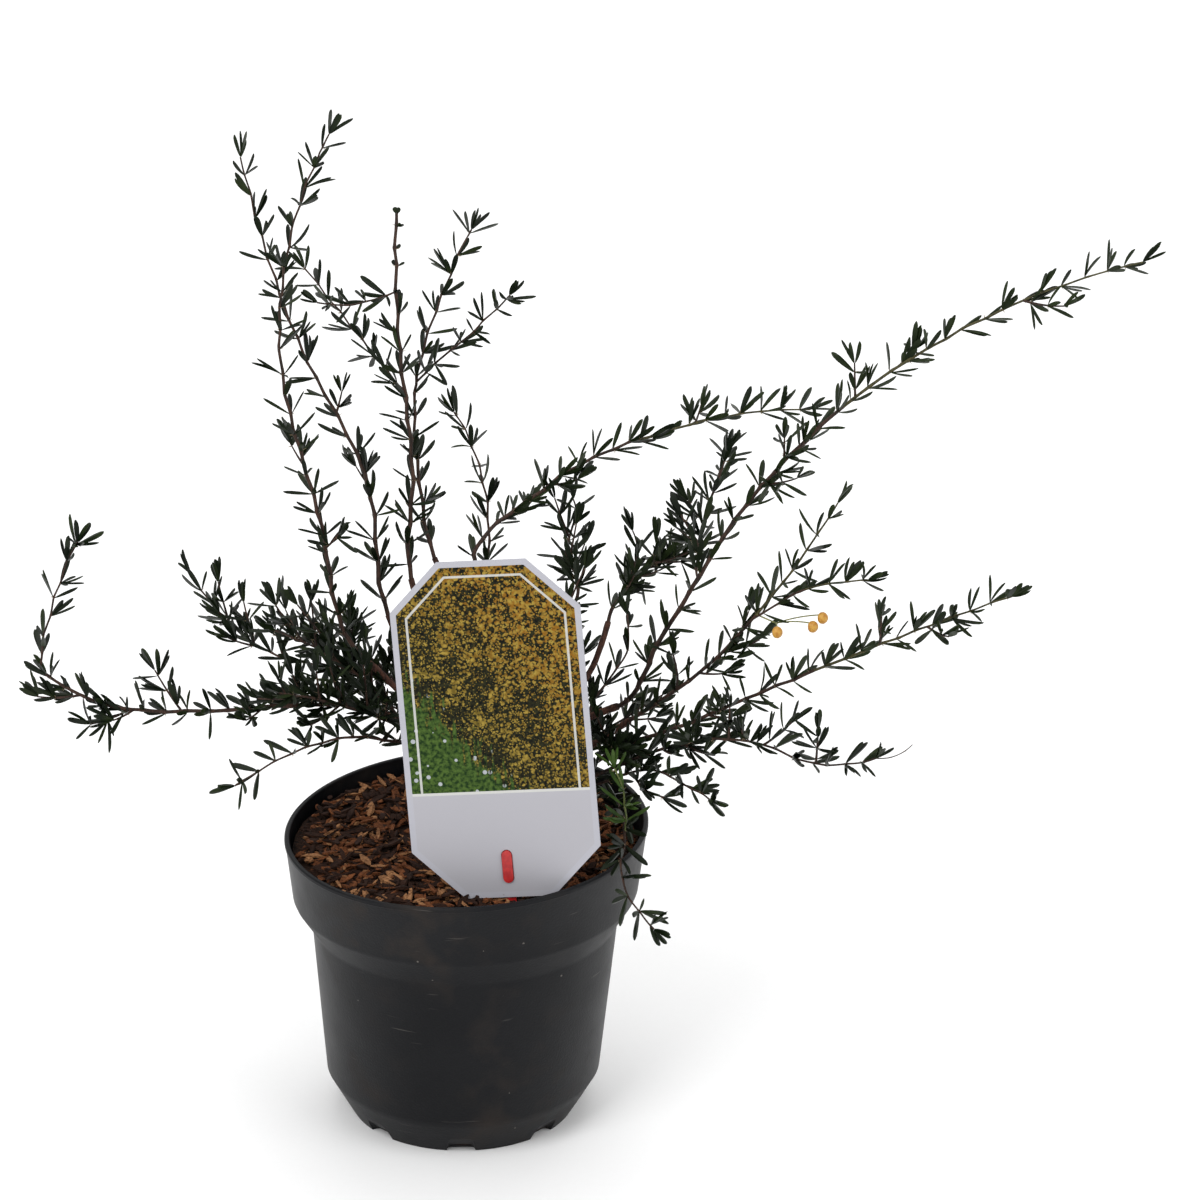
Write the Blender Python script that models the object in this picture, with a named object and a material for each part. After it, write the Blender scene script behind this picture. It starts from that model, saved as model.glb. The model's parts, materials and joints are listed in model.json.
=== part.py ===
"""Potted rosemary barberry: arching shoots with narrow leaves in a round nursery pot.

Metres, +Z up. The origin is the middle of the pot's flat underside. The front, where the
label card leans in the pot, is -Y.
"""
import math
import random
from collections import namedtuple

import bmesh
import bpy
from mathutils import Matrix, Vector
from mathutils.bvhtree import BVHTree

# Clear space between neighbouring solids
GAP = 0.0003

# Metres in a millimetre
MM = 0.001

# Pot: a turned shell, wider above a sloping step, with a rounded lower corner
POT_HEIGHT = 0.160
POT_SEGMENTS = 40
POT_WALL = 0.0016
FLOOR_THICKNESS = 0.0020
FOOT_RADIUS = 0.0590
CORNER_PULL = (0.0612, 0.0036)
CORNER_TOP = (0.0720, 0.0230)
CORNER_STEPS = 3
STEP_BOTTOM = (0.0803, 0.1090)
STEP_TOP = (0.0903, 0.1240)
RIM_RADIUS = 0.0950
LIP_HEIGHT = 0.0030
LIP_WIDTH = 0.0026
RIM_SHIFT = 0.0030
RIM_TILT = math.radians(2.6)
DRAIN_HOLES = 8
DRAIN_LENGTH = 0.0150
DRAIN_WIDTH = 0.0050
DRAIN_RADIUS = 0.0625

# Bark mulch that fills the pot
SOIL_TOP = 0.1490
SOIL_BUMP = 0.0016
SOIL_RINGS = 4
SOIL_FLAT_RADIUS = 0.0240
SOIL_EDGE_INSET = 0.0006

# Label card: an octagon of thin board that leans back in the pot
CARD_WIDTH = 0.0980
CARD_HEIGHT = 0.1810
CARD_CORNER = 0.0260
CARD_THICKNESS = 0.0008
CARD_FOOT = (0.0267, -0.0680, 0.1533)
CARD_LEAN = math.radians(7.1)
CARD_ROLL = math.radians(5.5)
CARD_TURN = math.radians(-6.7)

# Peg that holds the card: a flat stake behind it, with a head through its slot
PEG_WIDTH = 0.0056
PEG_THICKNESS = 0.0015
PEG_TOP = 0.0310
PEG_BOTTOM = -0.0240
PEG_POINT = 0.0070
HEAD_WIDTH = 0.0052
HEAD_LENGTH = 0.0175
HEAD_MIDDLE = 0.0167
HEAD_PROUD = 0.0010

# Stool: the short woody foot of the shrub, cut flat where it meets the mulch
STOOL_FOOT = (0.0060, 0.0040)
STOOL_TIP = (0.0100, 0.0060)
STOOL_HEIGHT = 0.0270
STOOL_RADII = ((0.0, 0.0128), (0.12, 0.0098), (0.35, 0.0080), (0.70, 0.0068), (0.92, 0.0056), (1.0, 0.0034))
STOOL_SIDES = 12
STOOL_LOBES = 4
STOOL_LOBE_DEPTH = 0.14

# Boughs and shoots
COLLAR = 0.0016
BOUGH_SIDES = 5
BOUGH_STEP = 0.014
TWIG_SIDES = 3
PULL = 0.35
SPAN_STEPS = 20
ZIGZAG = 0.0007

# Leaves
LEAF_LENGTH = 0.0200
LEAF_WIDTH = 0.0044
LEAF_THICKNESS = 0.0008
LEAF_WIDEST = 0.56
LEAF_FOOT = 0.30
LEAF_SPREAD = math.radians(47)
LEAF_RISE = 0.55
LEAF_SINK = 0.0002
TIP_SINK = 0.0016
TIP_SPREAD = math.radians(12)
NODE_STEP = 0.0235
LEAVES_AT_NODE = 2
GOLDEN_ANGLE = math.radians(137.5)
CLEARANCE = 0.0006

# Short side twigs that a shoot grows by a seeded rule
SPUR_EVERY = 2
SPUR_LENGTH = (0.014, 0.026)
SPUR_RADIUS = 0.0007
SEED = 41

# Flower buds on thin stalks
BUD_RADIUS = 0.0029
STALK_RADIUS = 0.00045

# A limb leaves its parent at the share `at` of the parent's length, in the direction `leave`,
# and runs `through` a few places to its tip. Directions are (bearing, rise) in degrees:
# bearing 0 is +X and 90 is +Y, rise 90 is up. Where `leave` is None the limb goes on from its
# parent's tip. Places and the radii `thick` and `thin` are in millimetres.
Limb = namedtuple("Limb", "node parent at leave through thick thin")

BOUGHS = {
    "bough_left": Limb(
        "bough_left", "stool", 0.42, (182, 28), ((-16, 2, 202), (-38, -1, 225)), 2.8, 2.0,
    ),
    "bough_tall_front": Limb(
        "bough_tall_front", "stool", 0.80, (178, 64), ((-20, 0, 224), (-48, -5, 258)), 2.6, 1.9,
    ),
    "bough_centre_left": Limb(
        "bough_centre_left", "stool", 0.92, (128, 66), ((-10, 18, 232), (-25, 26, 290)), 2.7, 1.8,
    ),
    "bough_tall_back": Limb(
        "bough_tall_back", "bough_centre_left", 0.36, (168, 50), ((-37, 20, 272),), 2.1, 1.8,
    ),
    "bough_centre": Limb(
        "bough_centre", "bough_centre_left", 0.52, (48, 62), ((-13, 32, 299),), 2.0, 1.7,
    ),
    "bough_centre_right": Limb(
        "bough_centre_right", "stool", 0.97, (62, 64), ((18, 34, 232), (8, 48, 284)), 2.6, 1.8,
    ),
    "bough_upright": Limb(
        "bough_upright", "bough_centre_right", 0.42, (12, 44), ((60, 42, 270),), 1.9, 1.6,
    ),
    "bough_right_high": Limb(
        "bough_right_high", "stool", 0.74, (28, 40), ((46, 12, 204), (82, 5, 227)), 2.9, 2.2,
    ),
    "bough_cluster": Limb(
        "bough_cluster", "bough_right_high", 0.60, (88, 48), ((70, 40, 236), (77, 57, 251)), 2.3, 1.8,
    ),
    "bough_right_mid": Limb(
        "bough_right_mid", "stool", 0.54, (350, 28), ((48, -6, 196), (88, -10, 226)), 2.6, 2.0,
    ),
    "bough_right_low": Limb(
        "bough_right_low", "stool", 0.32, (326, 22), ((68, -18, 203),), 2.6, 2.0,
    ),
    "bough_low": Limb(
        "bough_low", "stool", 0.20, (10, 8), ((66, 8, 172),), 2.2, 1.7,
    ),
    "bough_back": Limb(
        "bough_back", "stool", 0.50, (88, 34), ((14, 62, 202),), 2.6, 1.9,
    ),
}

SHOOTS = {
    "long_left": Limb(
        "foliage_long_left", "bough_left", 1.0, None,
        ((-80, -15, 237), (-130, -30, 241), (-185, -46, 254), (-214, -55, 279)), 1.9, 0.9,
    ),
    "long_left_end": Limb(
        "foliage_long_left", "long_left", 0.985, (285, 84), ((-206, -57, 312), (-193, -62, 356)), 0.9, 0.7,
    ),
    "low_left": Limb(
        "foliage_low_left", "bough_left", 0.72, (238, 14), ((-64, -45, 232), (-117, -100, 228)), 1.4, 0.7,
    ),
    "mid_left": Limb(
        "foliage_mid_left", "bough_left", 0.66, (128, 14),
        ((-65, 35, 232), (-103, 65, 231), (-147, 110, 262)), 1.5, 0.7,
    ),
    "inner_left_back": Limb(
        "foliage_inner_left_back", "bough_left", 0.54, (112, 40), ((-46, 34, 240), (-94, 58, 240)), 1.3, 0.7,
    ),
    "inner_left_top": Limb(
        "foliage_inner_left_top", "bough_left", 0.84, (165, 66), ((-70, 12, 254), (-104, 20, 266)), 1.3, 0.7,
    ),
    "inner_left_twig": Limb(
        "foliage_inner_left_top", "inner_left_top", 0.80, (190, 74), ((-98, 20, 280),), 0.8, 0.7,
    ),
    "inner_left_spray": Limb(
        "foliage_inner_left_top", "inner_left_top", 0.52, (175, 60), ((-87, 15, 286),), 0.8, 0.7,
    ),
    "inner_left_front": Limb(
        "foliage_inner_left_front", "bough_left", 0.86, (240, 34), ((-66, -24, 243), (-98, -42, 258)), 1.3, 0.7,
    ),
    "tall_front": Limb(
        "foliage_tall_front", "bough_tall_front", 1.0, None,
        ((-71, 0, 337), (-90, 8, 437), (-60, 20, 546)), 1.9, 0.7,
    ),
    "tall_back": Limb(
        "foliage_tall_back", "bough_tall_back", 1.0, None,
        ((-47, 38, 337), (-85, 62, 414), (-113, 90, 507)), 1.8, 0.7,
    ),
    "centre_left": Limb(
        "foliage_centre_left", "bough_centre_left", 1.0, None,
        ((-24, 36, 345), (-31, 52, 420), (-32, 65, 478)), 1.8, 0.7,
    ),
    "centre_left_fork": Limb(
        "foliage_centre_left", "centre_left", 0.52, (125, 16), ((-58, 88, 408), (-85, 125, 429)), 1.0, 0.7,
    ),
    "centre_left_twig": Limb(
        "foliage_centre_left", "centre_left", 0.79, (217, -10), ((-77, 25, 446),), 0.9, 0.7,
    ),
    "centre": Limb(
        "foliage_centre", "bough_centre", 1.0, None,
        ((-20, 43, 332), (-22, 60, 386), (-7, 87, 429), (9, 110, 458)), 1.6, 0.7,
    ),
    "centre_fork": Limb(
        "foliage_centre", "centre", 0.50, (330, 50), ((8, 38, 424), (31, 20, 456)), 1.0, 0.7,
    ),
    "arch_back": Limb(
        "foliage_arch_back", "bough_centre_right", 1.0, None,
        ((45, 81, 318), (110, 121, 333), (191, 160, 328)), 1.7, 0.7,
    ),
    "short_back": Limb(
        "foliage_short_back", "bough_centre_right", 0.80, (95, 40),
        ((12, 93, 313), (-7, 140, 340)), 1.3, 0.7,
    ),
    "upright": Limb(
        "foliage_upright", "bough_upright", 1.0, None,
        ((55, 72, 288), (60, 90, 298), (55, 105, 306)), 1.5, 0.7,
    ),
    "upright_side": Limb(
        "foliage_upright_side", "bough_upright", 0.70, (350, 66), ((68, 44, 294),), 1.1, 0.7,
    ),
    "long_right": Limb(
        "foliage_long_right", "bough_right_high", 1.0, None,
        ((103, 4, 264), (162, 16, 355), (268, 30, 434), (357, 40, 463)), 2.1, 0.7,
    ),
    "long_right_side": Limb(
        "foliage_long_right", "long_right", 0.22, (92, 24), ((129, 72, 308), (143, 120, 329)), 1.1, 0.7,
    ),
    "cluster": Limb(
        "foliage_cluster", "bough_cluster", 1.0, None, ((104, 80, 277), (120, 90, 279)), 1.7, 0.7,
    ),
    "cluster_top": Limb(
        "foliage_cluster", "cluster", 0.25, (67, 48), ((93, 88, 279), (87, 100, 290)), 1.0, 0.7,
    ),
    "reed": Limb(
        "foliage_reed", "bough_right_high", 0.82, (92, 56), ((87, 30, 249), (86, 45, 269)), 1.1, 0.7,
    ),
    "card_edge": Limb(
        "foliage_card_edge", "bough_right_high", 0.34, (72, 60), ((54, 30, 228), (66, 34, 250)), 1.2, 0.7,
    ),
    "rising_right": Limb(
        "foliage_rising_right", "bough_right_mid", 1.0, None,
        ((126, -18, 259), (156, -26, 298), (196, -40, 368)), 1.9, 0.7,
    ),
    "rising_right_side": Limb(
        "foliage_rising_right", "rising_right", 0.50, (329, 38), ((182, -43, 317), (215, -60, 328)), 1.0, 0.7,
    ),
    "rising_right_twig": Limb(
        "foliage_rising_right", "rising_right", 0.17, (83, 60), ((110, -10, 268),), 1.0, 0.7,
    ),
    "spread_right": Limb(
        "foliage_spread_right", "bough_right_low", 1.0, None,
        ((123, -32, 237), (190, -65, 284), (285, -105, 343)), 1.9, 0.7,
    ),
    "low_right": Limb(
        "foliage_low_right", "bough_right_low", 0.80, (312, 30),
        ((113, -41, 227), (150, -77, 246), (183, -103, 246), (216, -130, 265)), 1.5, 0.7,
    ),
    "droop_right": Limb(
        "foliage_droop_right", "bough_right_low", 0.60, (300, 16),
        ((100, -40, 212), (117, -67, 216), (132, -100, 222)), 1.3, 0.7,
    ),
    "droop_right_side": Limb(
        "foliage_droop_right", "droop_right", 0.40, (282, -8), ((109, -62, 206),), 1.0, 0.7,
    ),
    "inner_right_front": Limb(
        "foliage_inner_right_front", "bough_right_mid", 0.80, (290, 20), ((92, -40, 224),), 1.2, 0.7,
    ),
    "inner_right_back": Limb(
        "foliage_inner_right_back", "bough_right_mid", 0.42, (58, 4), ((112, 42, 220),), 1.3, 0.7,
    ),
    "rim": Limb(
        "foliage_rim", "bough_low", 1.0, None,
        ((85, -42, 182), (85, -81, 166), (106, -110, 151)), 1.3, 0.7,
    ),
    "rim_sprig": Limb(
        "foliage_rim", "rim", 0.46, (100, 70), ((86, -54, 196), (78, -56, 228)), 0.9, 0.7,
    ),
    "back_left": Limb(
        "foliage_back_left", "bough_back", 0.66, (130, 24), ((-22, 145, 206),), 1.5, 0.7,
    ),
    "back": Limb(
        "foliage_back", "bough_back", 1.0, None, ((18, 115, 218), (22, 172, 216)), 1.7, 0.7,
    ),
    "back_right": Limb(
        "foliage_back_right", "bough_back", 0.82, (45, 26), ((54, 150, 212),), 1.5, 0.7,
    ),
}

# Shoots that also grow short side twigs
BUSHY = ("inner_left_back", "inner_left_front", "inner_right_back", "cluster", "back")

# Flower buds hang from the rising shoot: share of its length, and where each bud hangs
BUD_PARENT = "rising_right"
BUD_AT = 0.52
BUDS = ((163, -42, 291), (181, -46, 296), (186, -44, 300))


def clear_scene():
    for obj in list(bpy.data.objects):
        bpy.data.objects.remove(obj, do_unlink=True)


def finish(obj, colour, roughness, metallic=0.0):
    """Gives an object its own Principled material."""
    material = bpy.data.materials.new(obj.name + "_finish")
    material.use_nodes = True
    shader = material.node_tree.nodes["Principled BSDF"]
    shader.inputs["Base Color"].default_value = (*colour, 1.0)
    shader.inputs["Roughness"].default_value = roughness
    shader.inputs["Metallic"].default_value = metallic
    obj.data.materials.clear()
    obj.data.materials.append(material)


def link(name, mesh):
    obj = bpy.data.objects.new(name, mesh)
    bpy.context.scene.collection.objects.link(obj)
    return obj


def object_from(name, shape):
    """Makes an object of a shape, which is a pair of vertices and faces."""
    mesh = bpy.data.meshes.new(name)
    mesh.from_pydata(shape[0], [], shape[1])
    mesh.update()
    return link(name, mesh)


def smooth(obj, angle):
    obj.data.shade_smooth()
    obj.data.set_sharp_from_angle(angle=math.radians(angle))


def towards(bearing, rise):
    """Unit vector for a bearing and a rise in degrees."""
    b = math.radians(bearing)
    r = math.radians(rise)
    return Vector((math.cos(b) * math.cos(r), math.sin(b) * math.cos(r), math.sin(r)))


# Pot and mulch

def lean(point):
    """Carries a point of the upright pot to the pot that leans, with its rim tilted."""
    share = point.z / POT_HEIGHT
    tilt = RIM_TILT * share ** 3
    return Vector((point.x + RIM_SHIFT * share, point.y, point.z + point.x * math.tan(tilt)))


def corner(inset, lift):
    """Lower corner of the wall: a quadratic curve from the foot up to the wall."""
    foot = Vector((FOOT_RADIUS - inset, lift))
    pull = Vector((CORNER_PULL[0] - inset, CORNER_PULL[1] + lift))
    top = Vector((CORNER_TOP[0] - inset, CORNER_TOP[1]))
    points = []
    for i in range(CORNER_STEPS + 1):
        t = i / CORNER_STEPS
        points.append(foot * (1 - t) ** 2 + pull * 2 * t * (1 - t) + top * t * t)
    return [tuple(p) for p in points]


def pot_outside():
    """Outer profile as (radius, height), from the foot to the rim."""
    lip = POT_HEIGHT - LIP_HEIGHT
    return corner(0.0, 0.0) + [
        STEP_BOTTOM,
        STEP_TOP,
        (RIM_RADIUS - 0.0006, lip),
        (RIM_RADIUS, lip + 0.0008),
        (RIM_RADIUS, POT_HEIGHT - 0.0006),
        (RIM_RADIUS - 0.0007, POT_HEIGHT),
    ]


def pot_inside(extra):
    """Inner profile from the floor to just under the lip, drawn in by `extra` more."""
    inset = POT_WALL + extra
    return corner(inset, FLOOR_THICKNESS + extra) + [
        (STEP_BOTTOM[0] - inset, STEP_BOTTOM[1] + extra),
        (STEP_TOP[0] - inset, STEP_TOP[1] + extra),
    ]


def turned(name, profile, shift=lean):
    """Spins a (radius, height) profile round Z, from axis to axis, into a closed solid."""
    bm = bmesh.new()
    verts = [bm.verts.new((radius, 0.0, height)) for radius, height in profile]
    edges = [bm.edges.new(pair) for pair in zip(verts, verts[1:])]
    bmesh.ops.spin(
        bm, geom=verts + edges, cent=(0, 0, 0), axis=(0, 0, 1),
        angle=2 * math.pi, steps=POT_SEGMENTS, use_merge=True,
    )
    bmesh.ops.remove_doubles(bm, verts=bm.verts, dist=1e-5)
    bmesh.ops.recalc_face_normals(bm, faces=bm.faces)
    for vert in bm.verts:
        vert.co = shift(vert.co)
    mesh = bpy.data.meshes.new(name)
    bm.to_mesh(mesh)
    bm.free()
    return link(name, mesh)


def stadium(width, length, steps=6):
    """Outline of a slot with round ends, its length along the second axis."""
    radius = width / 2
    reach = length / 2 - radius
    points = []
    for sign in (1, -1):
        for i in range(steps + 1):
            angle = math.pi * i / steps
            points.append((sign * radius * math.cos(angle), sign * (reach + radius * math.sin(angle))))
    return points


def prism(name, outline, near, far):
    """Extrudes an outline in the X-Z plane from y = near to y = far."""
    bm = bmesh.new()
    face = bm.faces.new([bm.verts.new((x, near, z)) for x, z in outline])
    grown = bmesh.ops.extrude_face_region(bm, geom=[face])
    moved = [item for item in grown["geom"] if isinstance(item, bmesh.types.BMVert)]
    bmesh.ops.translate(bm, verts=moved, vec=(0, far - near, 0))
    bmesh.ops.recalc_face_normals(bm, faces=bm.faces)
    mesh = bpy.data.meshes.new(name)
    bm.to_mesh(mesh)
    bm.free()
    return link(name, mesh)


def apply_boolean(obj, operation, operand, solver="EXACT"):
    """Applies one Boolean with an object or a collection of objects, which are removed."""
    modifier = obj.modifiers.new("join", "BOOLEAN")
    modifier.operation = operation
    modifier.solver = solver
    if isinstance(operand, bpy.types.Collection):
        modifier.operand_type = "COLLECTION"
        modifier.collection = operand
        tools = list(operand.objects)
    else:
        modifier.object = operand
        tools = [operand]
    depsgraph = bpy.context.evaluated_depsgraph_get()
    mesh = bpy.data.meshes.new_from_object(obj.evaluated_get(depsgraph))
    obj.modifiers.clear()
    old = obj.data
    obj.data = mesh
    bpy.data.meshes.remove(old)
    for tool in tools:
        data = tool.data
        bpy.data.objects.remove(tool, do_unlink=True)
        bpy.data.meshes.remove(data)
    if isinstance(operand, bpy.types.Collection):
        bpy.data.collections.remove(operand)


def gather(name, objects):
    """Moves objects into a new collection, for one Boolean."""
    group = bpy.data.collections.new(name)
    bpy.context.scene.collection.children.link(group)
    for obj in objects:
        group.objects.link(obj)
        bpy.context.scene.collection.objects.unlink(obj)
    return group


def drain_cutters():
    """Slots through the lower corner, spread evenly round the foot."""
    cutters = []
    for i in range(DRAIN_HOLES):
        cutter = prism("drain", stadium(DRAIN_WIDTH, DRAIN_LENGTH), -0.012, 0.012)
        turn = Matrix.Rotation(2 * math.pi * i / DRAIN_HOLES, 4, "Z")
        lay = Matrix.Rotation(math.pi / 2, 4, "Y") @ Matrix.Rotation(math.pi / 2, 4, "X")
        slope = Matrix.Rotation(math.radians(-45), 4, "Y")
        cutter.data.transform(turn @ Matrix.Translation((DRAIN_RADIUS, 0, 0.0042)) @ slope @ lay)
        cutters.append(cutter)
    return cutters


def build_pot():
    outside = pot_outside()
    inside = pot_inside(0.0)
    lip = POT_HEIGHT - LIP_HEIGHT
    rim_inside = [(RIM_RADIUS - LIP_WIDTH, POT_HEIGHT), (RIM_RADIUS - LIP_WIDTH, lip)]
    profile = [(0.0, 0.0)] + outside + rim_inside + inside[::-1] + [(0.0, FLOOR_THICKNESS)]
    pot = turned("pot", profile)
    apply_boolean(pot, "DIFFERENCE", gather("drains", drain_cutters()))
    smooth(pot, 40)
    finish(pot, (0.030, 0.031, 0.034), 0.55)
    return pot


def soil_height(x, y):
    """Height of the mulch: flat round the stool and gently bumpy beyond it."""
    radius = math.hypot(x, y)
    if radius < SOIL_FLAT_RADIUS + RIM_SHIFT + 0.001:
        return SOIL_TOP
    wave = math.sin(x * 230 + 1.3) * math.cos(y * 260 - 0.4) + 0.6 * math.sin((x + y) * 410 + 2.0)
    return SOIL_TOP + SOIL_BUMP * (wave / 1.6 - 0.35)


def soil_shift(point):
    """Follows the leaning wall below the surface, and lies level on top."""
    moved = lean(point)
    if point.z > SOIL_TOP - 0.0005:
        moved.z = soil_height(moved.x, moved.y)
    return moved


def build_soil():
    wall = pot_inside(GAP)
    grade = (RIM_RADIUS - LIP_WIDTH + POT_WALL - STEP_TOP[0]) / (POT_HEIGHT - LIP_HEIGHT - STEP_TOP[1])
    edge_radius = wall[-1][0] + (SOIL_TOP - wall[-1][1]) * grade - SOIL_EDGE_INSET
    rings = [
        (SOIL_FLAT_RADIUS + (edge_radius - SOIL_FLAT_RADIUS) * i / SOIL_RINGS, SOIL_TOP)
        for i in range(SOIL_RINGS, -1, -1)
    ]
    profile = [(0.0, wall[0][1])] + wall + rings + [(0.0, SOIL_TOP)]
    soil = turned("soil", profile, soil_shift)
    cutter = prism("peg_hole", peg_outline(GAP), peg_near() - GAP, peg_near() + PEG_THICKNESS + GAP)
    cutter.data.transform(card_matrix())
    apply_boolean(soil, "DIFFERENCE", cutter)
    smooth(soil, 50)
    finish(soil, (0.12, 0.055, 0.028), 0.9)
    return soil


# Label card and its peg

def card_matrix():
    turn = Matrix.Rotation(CARD_TURN, 4, "Z")
    back = Matrix.Rotation(-CARD_LEAN, 4, "X")
    roll = Matrix.Rotation(-CARD_ROLL, 4, "Y")
    return Matrix.Translation(CARD_FOOT) @ turn @ back @ roll


def card_outline():
    half = CARD_WIDTH / 2
    cut = CARD_CORNER
    right = [(half - cut, 0.0), (half, cut), (half, CARD_HEIGHT - cut), (half - cut, CARD_HEIGHT)]
    return right + [(-x, z) for x, z in right[::-1]]


def peg_near():
    """Where the stake's front face lies behind the card."""
    return CARD_THICKNESS / 2 + GAP


def peg_outline(extra):
    """Outline of the pointed stake, grown by `extra`."""
    half = PEG_WIDTH / 2 + extra
    shoulder = PEG_BOTTOM + PEG_POINT
    tip = 0.0009 + extra
    return [
        (-tip, PEG_BOTTOM - extra), (tip, PEG_BOTTOM - extra), (half, shoulder),
        (half, PEG_TOP), (-half, PEG_TOP), (-half, shoulder),
    ]


def shifted(outline, rise):
    return [(x, z + rise) for x, z in outline]


def build_card():
    half = CARD_THICKNESS / 2
    card = prism("label_card", card_outline(), -half, half)
    slot = shifted(stadium(HEAD_WIDTH + 2 * GAP, HEAD_LENGTH + 2 * GAP), HEAD_MIDDLE)
    apply_boolean(card, "DIFFERENCE", prism("slot", slot, -0.005, 0.005))
    card.data.transform(card_matrix())
    finish(card, (0.62, 0.62, 0.64), 0.4)
    return card


def build_peg():
    near = peg_near()
    peg = prism("label_peg", peg_outline(0.0), near, near + PEG_THICKNESS)
    outline = shifted(stadium(HEAD_WIDTH, HEAD_LENGTH), HEAD_MIDDLE)
    head = prism("head", outline, -CARD_THICKNESS / 2 - HEAD_PROUD, near + PEG_THICKNESS / 2)
    apply_boolean(peg, "UNION", head)
    peg.data.transform(card_matrix())
    finish(peg, (0.55, 0.03, 0.03), 0.4)
    return peg


# Limbs

class Path:
    """A smooth run of points with a place and a heading at each distance along it."""

    def __init__(self, points):
        self.points = points
        self.marks = [0.0]
        for a, b in zip(points, points[1:]):
            self.marks.append(self.marks[-1] + (b - a).length)
        self.length = self.marks[-1]

    def locate(self, distance):
        distance = min(max(distance, 0.0), self.length)
        index = 0
        while index < len(self.marks) - 2 and self.marks[index + 1] < distance:
            index += 1
        span = self.marks[index + 1] - self.marks[index]
        return index, (distance - self.marks[index]) / span

    def point(self, distance):
        index, share = self.locate(distance)
        return self.points[index].lerp(self.points[index + 1], share)

    def heading(self, distance):
        reach = 0.0015
        ahead = self.point(distance + reach)
        return (ahead - self.point(distance - reach)).normalized()


def span(start, leave, end, arrive):
    """Points of a cubic span that leaves and arrives in given directions, its start left out."""
    reach = (end - start).length * PULL
    a = start + leave * reach
    b = end - arrive * reach
    points = []
    for i in range(1, SPAN_STEPS + 1):
        t = i / SPAN_STEPS
        s = 1 - t
        points.append(start * s ** 3 + a * 3 * s * s * t + b * 3 * s * t * t + end * t ** 3)
    return points


def mirrored(heading, chord):
    """The heading at the far end of an even arc over a chord."""
    axis = chord.normalized()
    return (axis * 2 * heading.dot(axis) - heading).normalized()


def flowing_path(start, leave, through):
    """Path from a start through a few places, with no kink where its spans meet."""
    places = [start] + [Vector(place) * MM for place in through]
    chords = [b - a for a, b in zip(places, places[1:])]
    headings = [leave]
    for before, after in zip(chords, chords[1:]):
        headings.append((before.normalized() * after.length + after.normalized() * before.length).normalized())
    headings.append(mirrored(headings[-1], chords[-1]))
    points = [start]
    for i in range(len(chords)):
        points.extend(span(places[i], headings[i], places[i + 1], headings[i + 1]))
    return Path(points)


def stool_path():
    foot = Vector((*STOOL_FOOT, SOIL_TOP + GAP))
    tip = Vector((*STOOL_TIP, SOIL_TOP + GAP + STOOL_HEIGHT))
    return Path([foot.lerp(tip, i / 8) for i in range(9)])


def stool_radius(share):
    for (low, first), (high, second) in zip(STOOL_RADII, STOOL_RADII[1:]):
        if share <= high:
            return first + (second - first) * (share - low) / (high - low)
    return STOOL_RADII[-1][1]


def all_limbs():
    return {**BOUGHS, **SHOOTS}


def trace_paths():
    """Works out every limb's path, parents first."""
    paths = {"stool": stool_path()}
    for name, limb in all_limbs().items():
        parent = paths[limb.parent]
        start = parent.point(parent.length * limb.at)
        if limb.leave is None:
            leave = (parent.points[-1] - parent.points[-2]).normalized()
        else:
            leave = towards(*limb.leave)
        paths[name] = flowing_path(start, leave, limb.through)
    return paths


def radius_at(name, paths, distance):
    if name == "stool":
        return stool_radius(distance / paths[name].length)
    limb = all_limbs()[name]
    share = min(max(distance / paths[name].length, 0.0), 1.0)
    return (limb.thick + (limb.thin - limb.thick) * share) * MM


def collar_length(name, paths):
    """How far a limb's collar, which belongs to its parent, stands out of the parent."""
    limb = all_limbs()[name]
    if limb.leave is None:
        return 0.0
    parent = paths[limb.parent]
    heading = parent.heading(parent.length * limb.at)
    leave = (paths[name].points[1] - paths[name].points[0]).normalized()
    sine = max(heading.cross(leave).length, 0.35)
    cosine = abs(heading.dot(leave))
    radius = radius_at(limb.parent, paths, parent.length * limb.at)
    return (radius + limb.thick * MM * cosine) / sine + COLLAR


def frames(points, first_heading=None, last_heading=None):
    """Headings and side vectors along a polyline, turned as little as possible."""
    count = len(points)
    headings = []
    for i in range(count):
        ahead = points[min(i + 1, count - 1)] - points[max(i - 1, 0)]
        headings.append(ahead.normalized())
    if first_heading is not None:
        headings[0] = first_heading
    if last_heading is not None:
        headings[-1] = last_heading
    side = headings[0].orthogonal().normalized()
    sides = []
    for heading in headings:
        side = (side - heading * side.dot(heading)).normalized()
        sides.append(side.copy())
    return headings, sides


def tube(points, radii, sides, first_heading=None, last_heading=None):
    """Closed tube along a polyline, with flat ends, as vertices and faces."""
    headings, first_sides = frames(points, first_heading, last_heading)
    verts = []
    faces = []
    for point, radius, heading, side in zip(points, radii, headings, first_sides):
        other = heading.cross(side)
        for k in range(sides):
            angle = 2 * math.pi * k / sides
            verts.append(point + (side * math.cos(angle) + other * math.sin(angle)) * radius)
    for ring in range(len(points) - 1):
        a = ring * sides
        b = a + sides
        for k in range(sides):
            n = (k + 1) % sides
            faces.append((a + k, a + n, b + n, b + k))
    faces.append(tuple(range(sides - 1, -1, -1)))
    last = (len(points) - 1) * sides
    faces.append(tuple(last + k for k in range(sides)))
    return verts, faces


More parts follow.
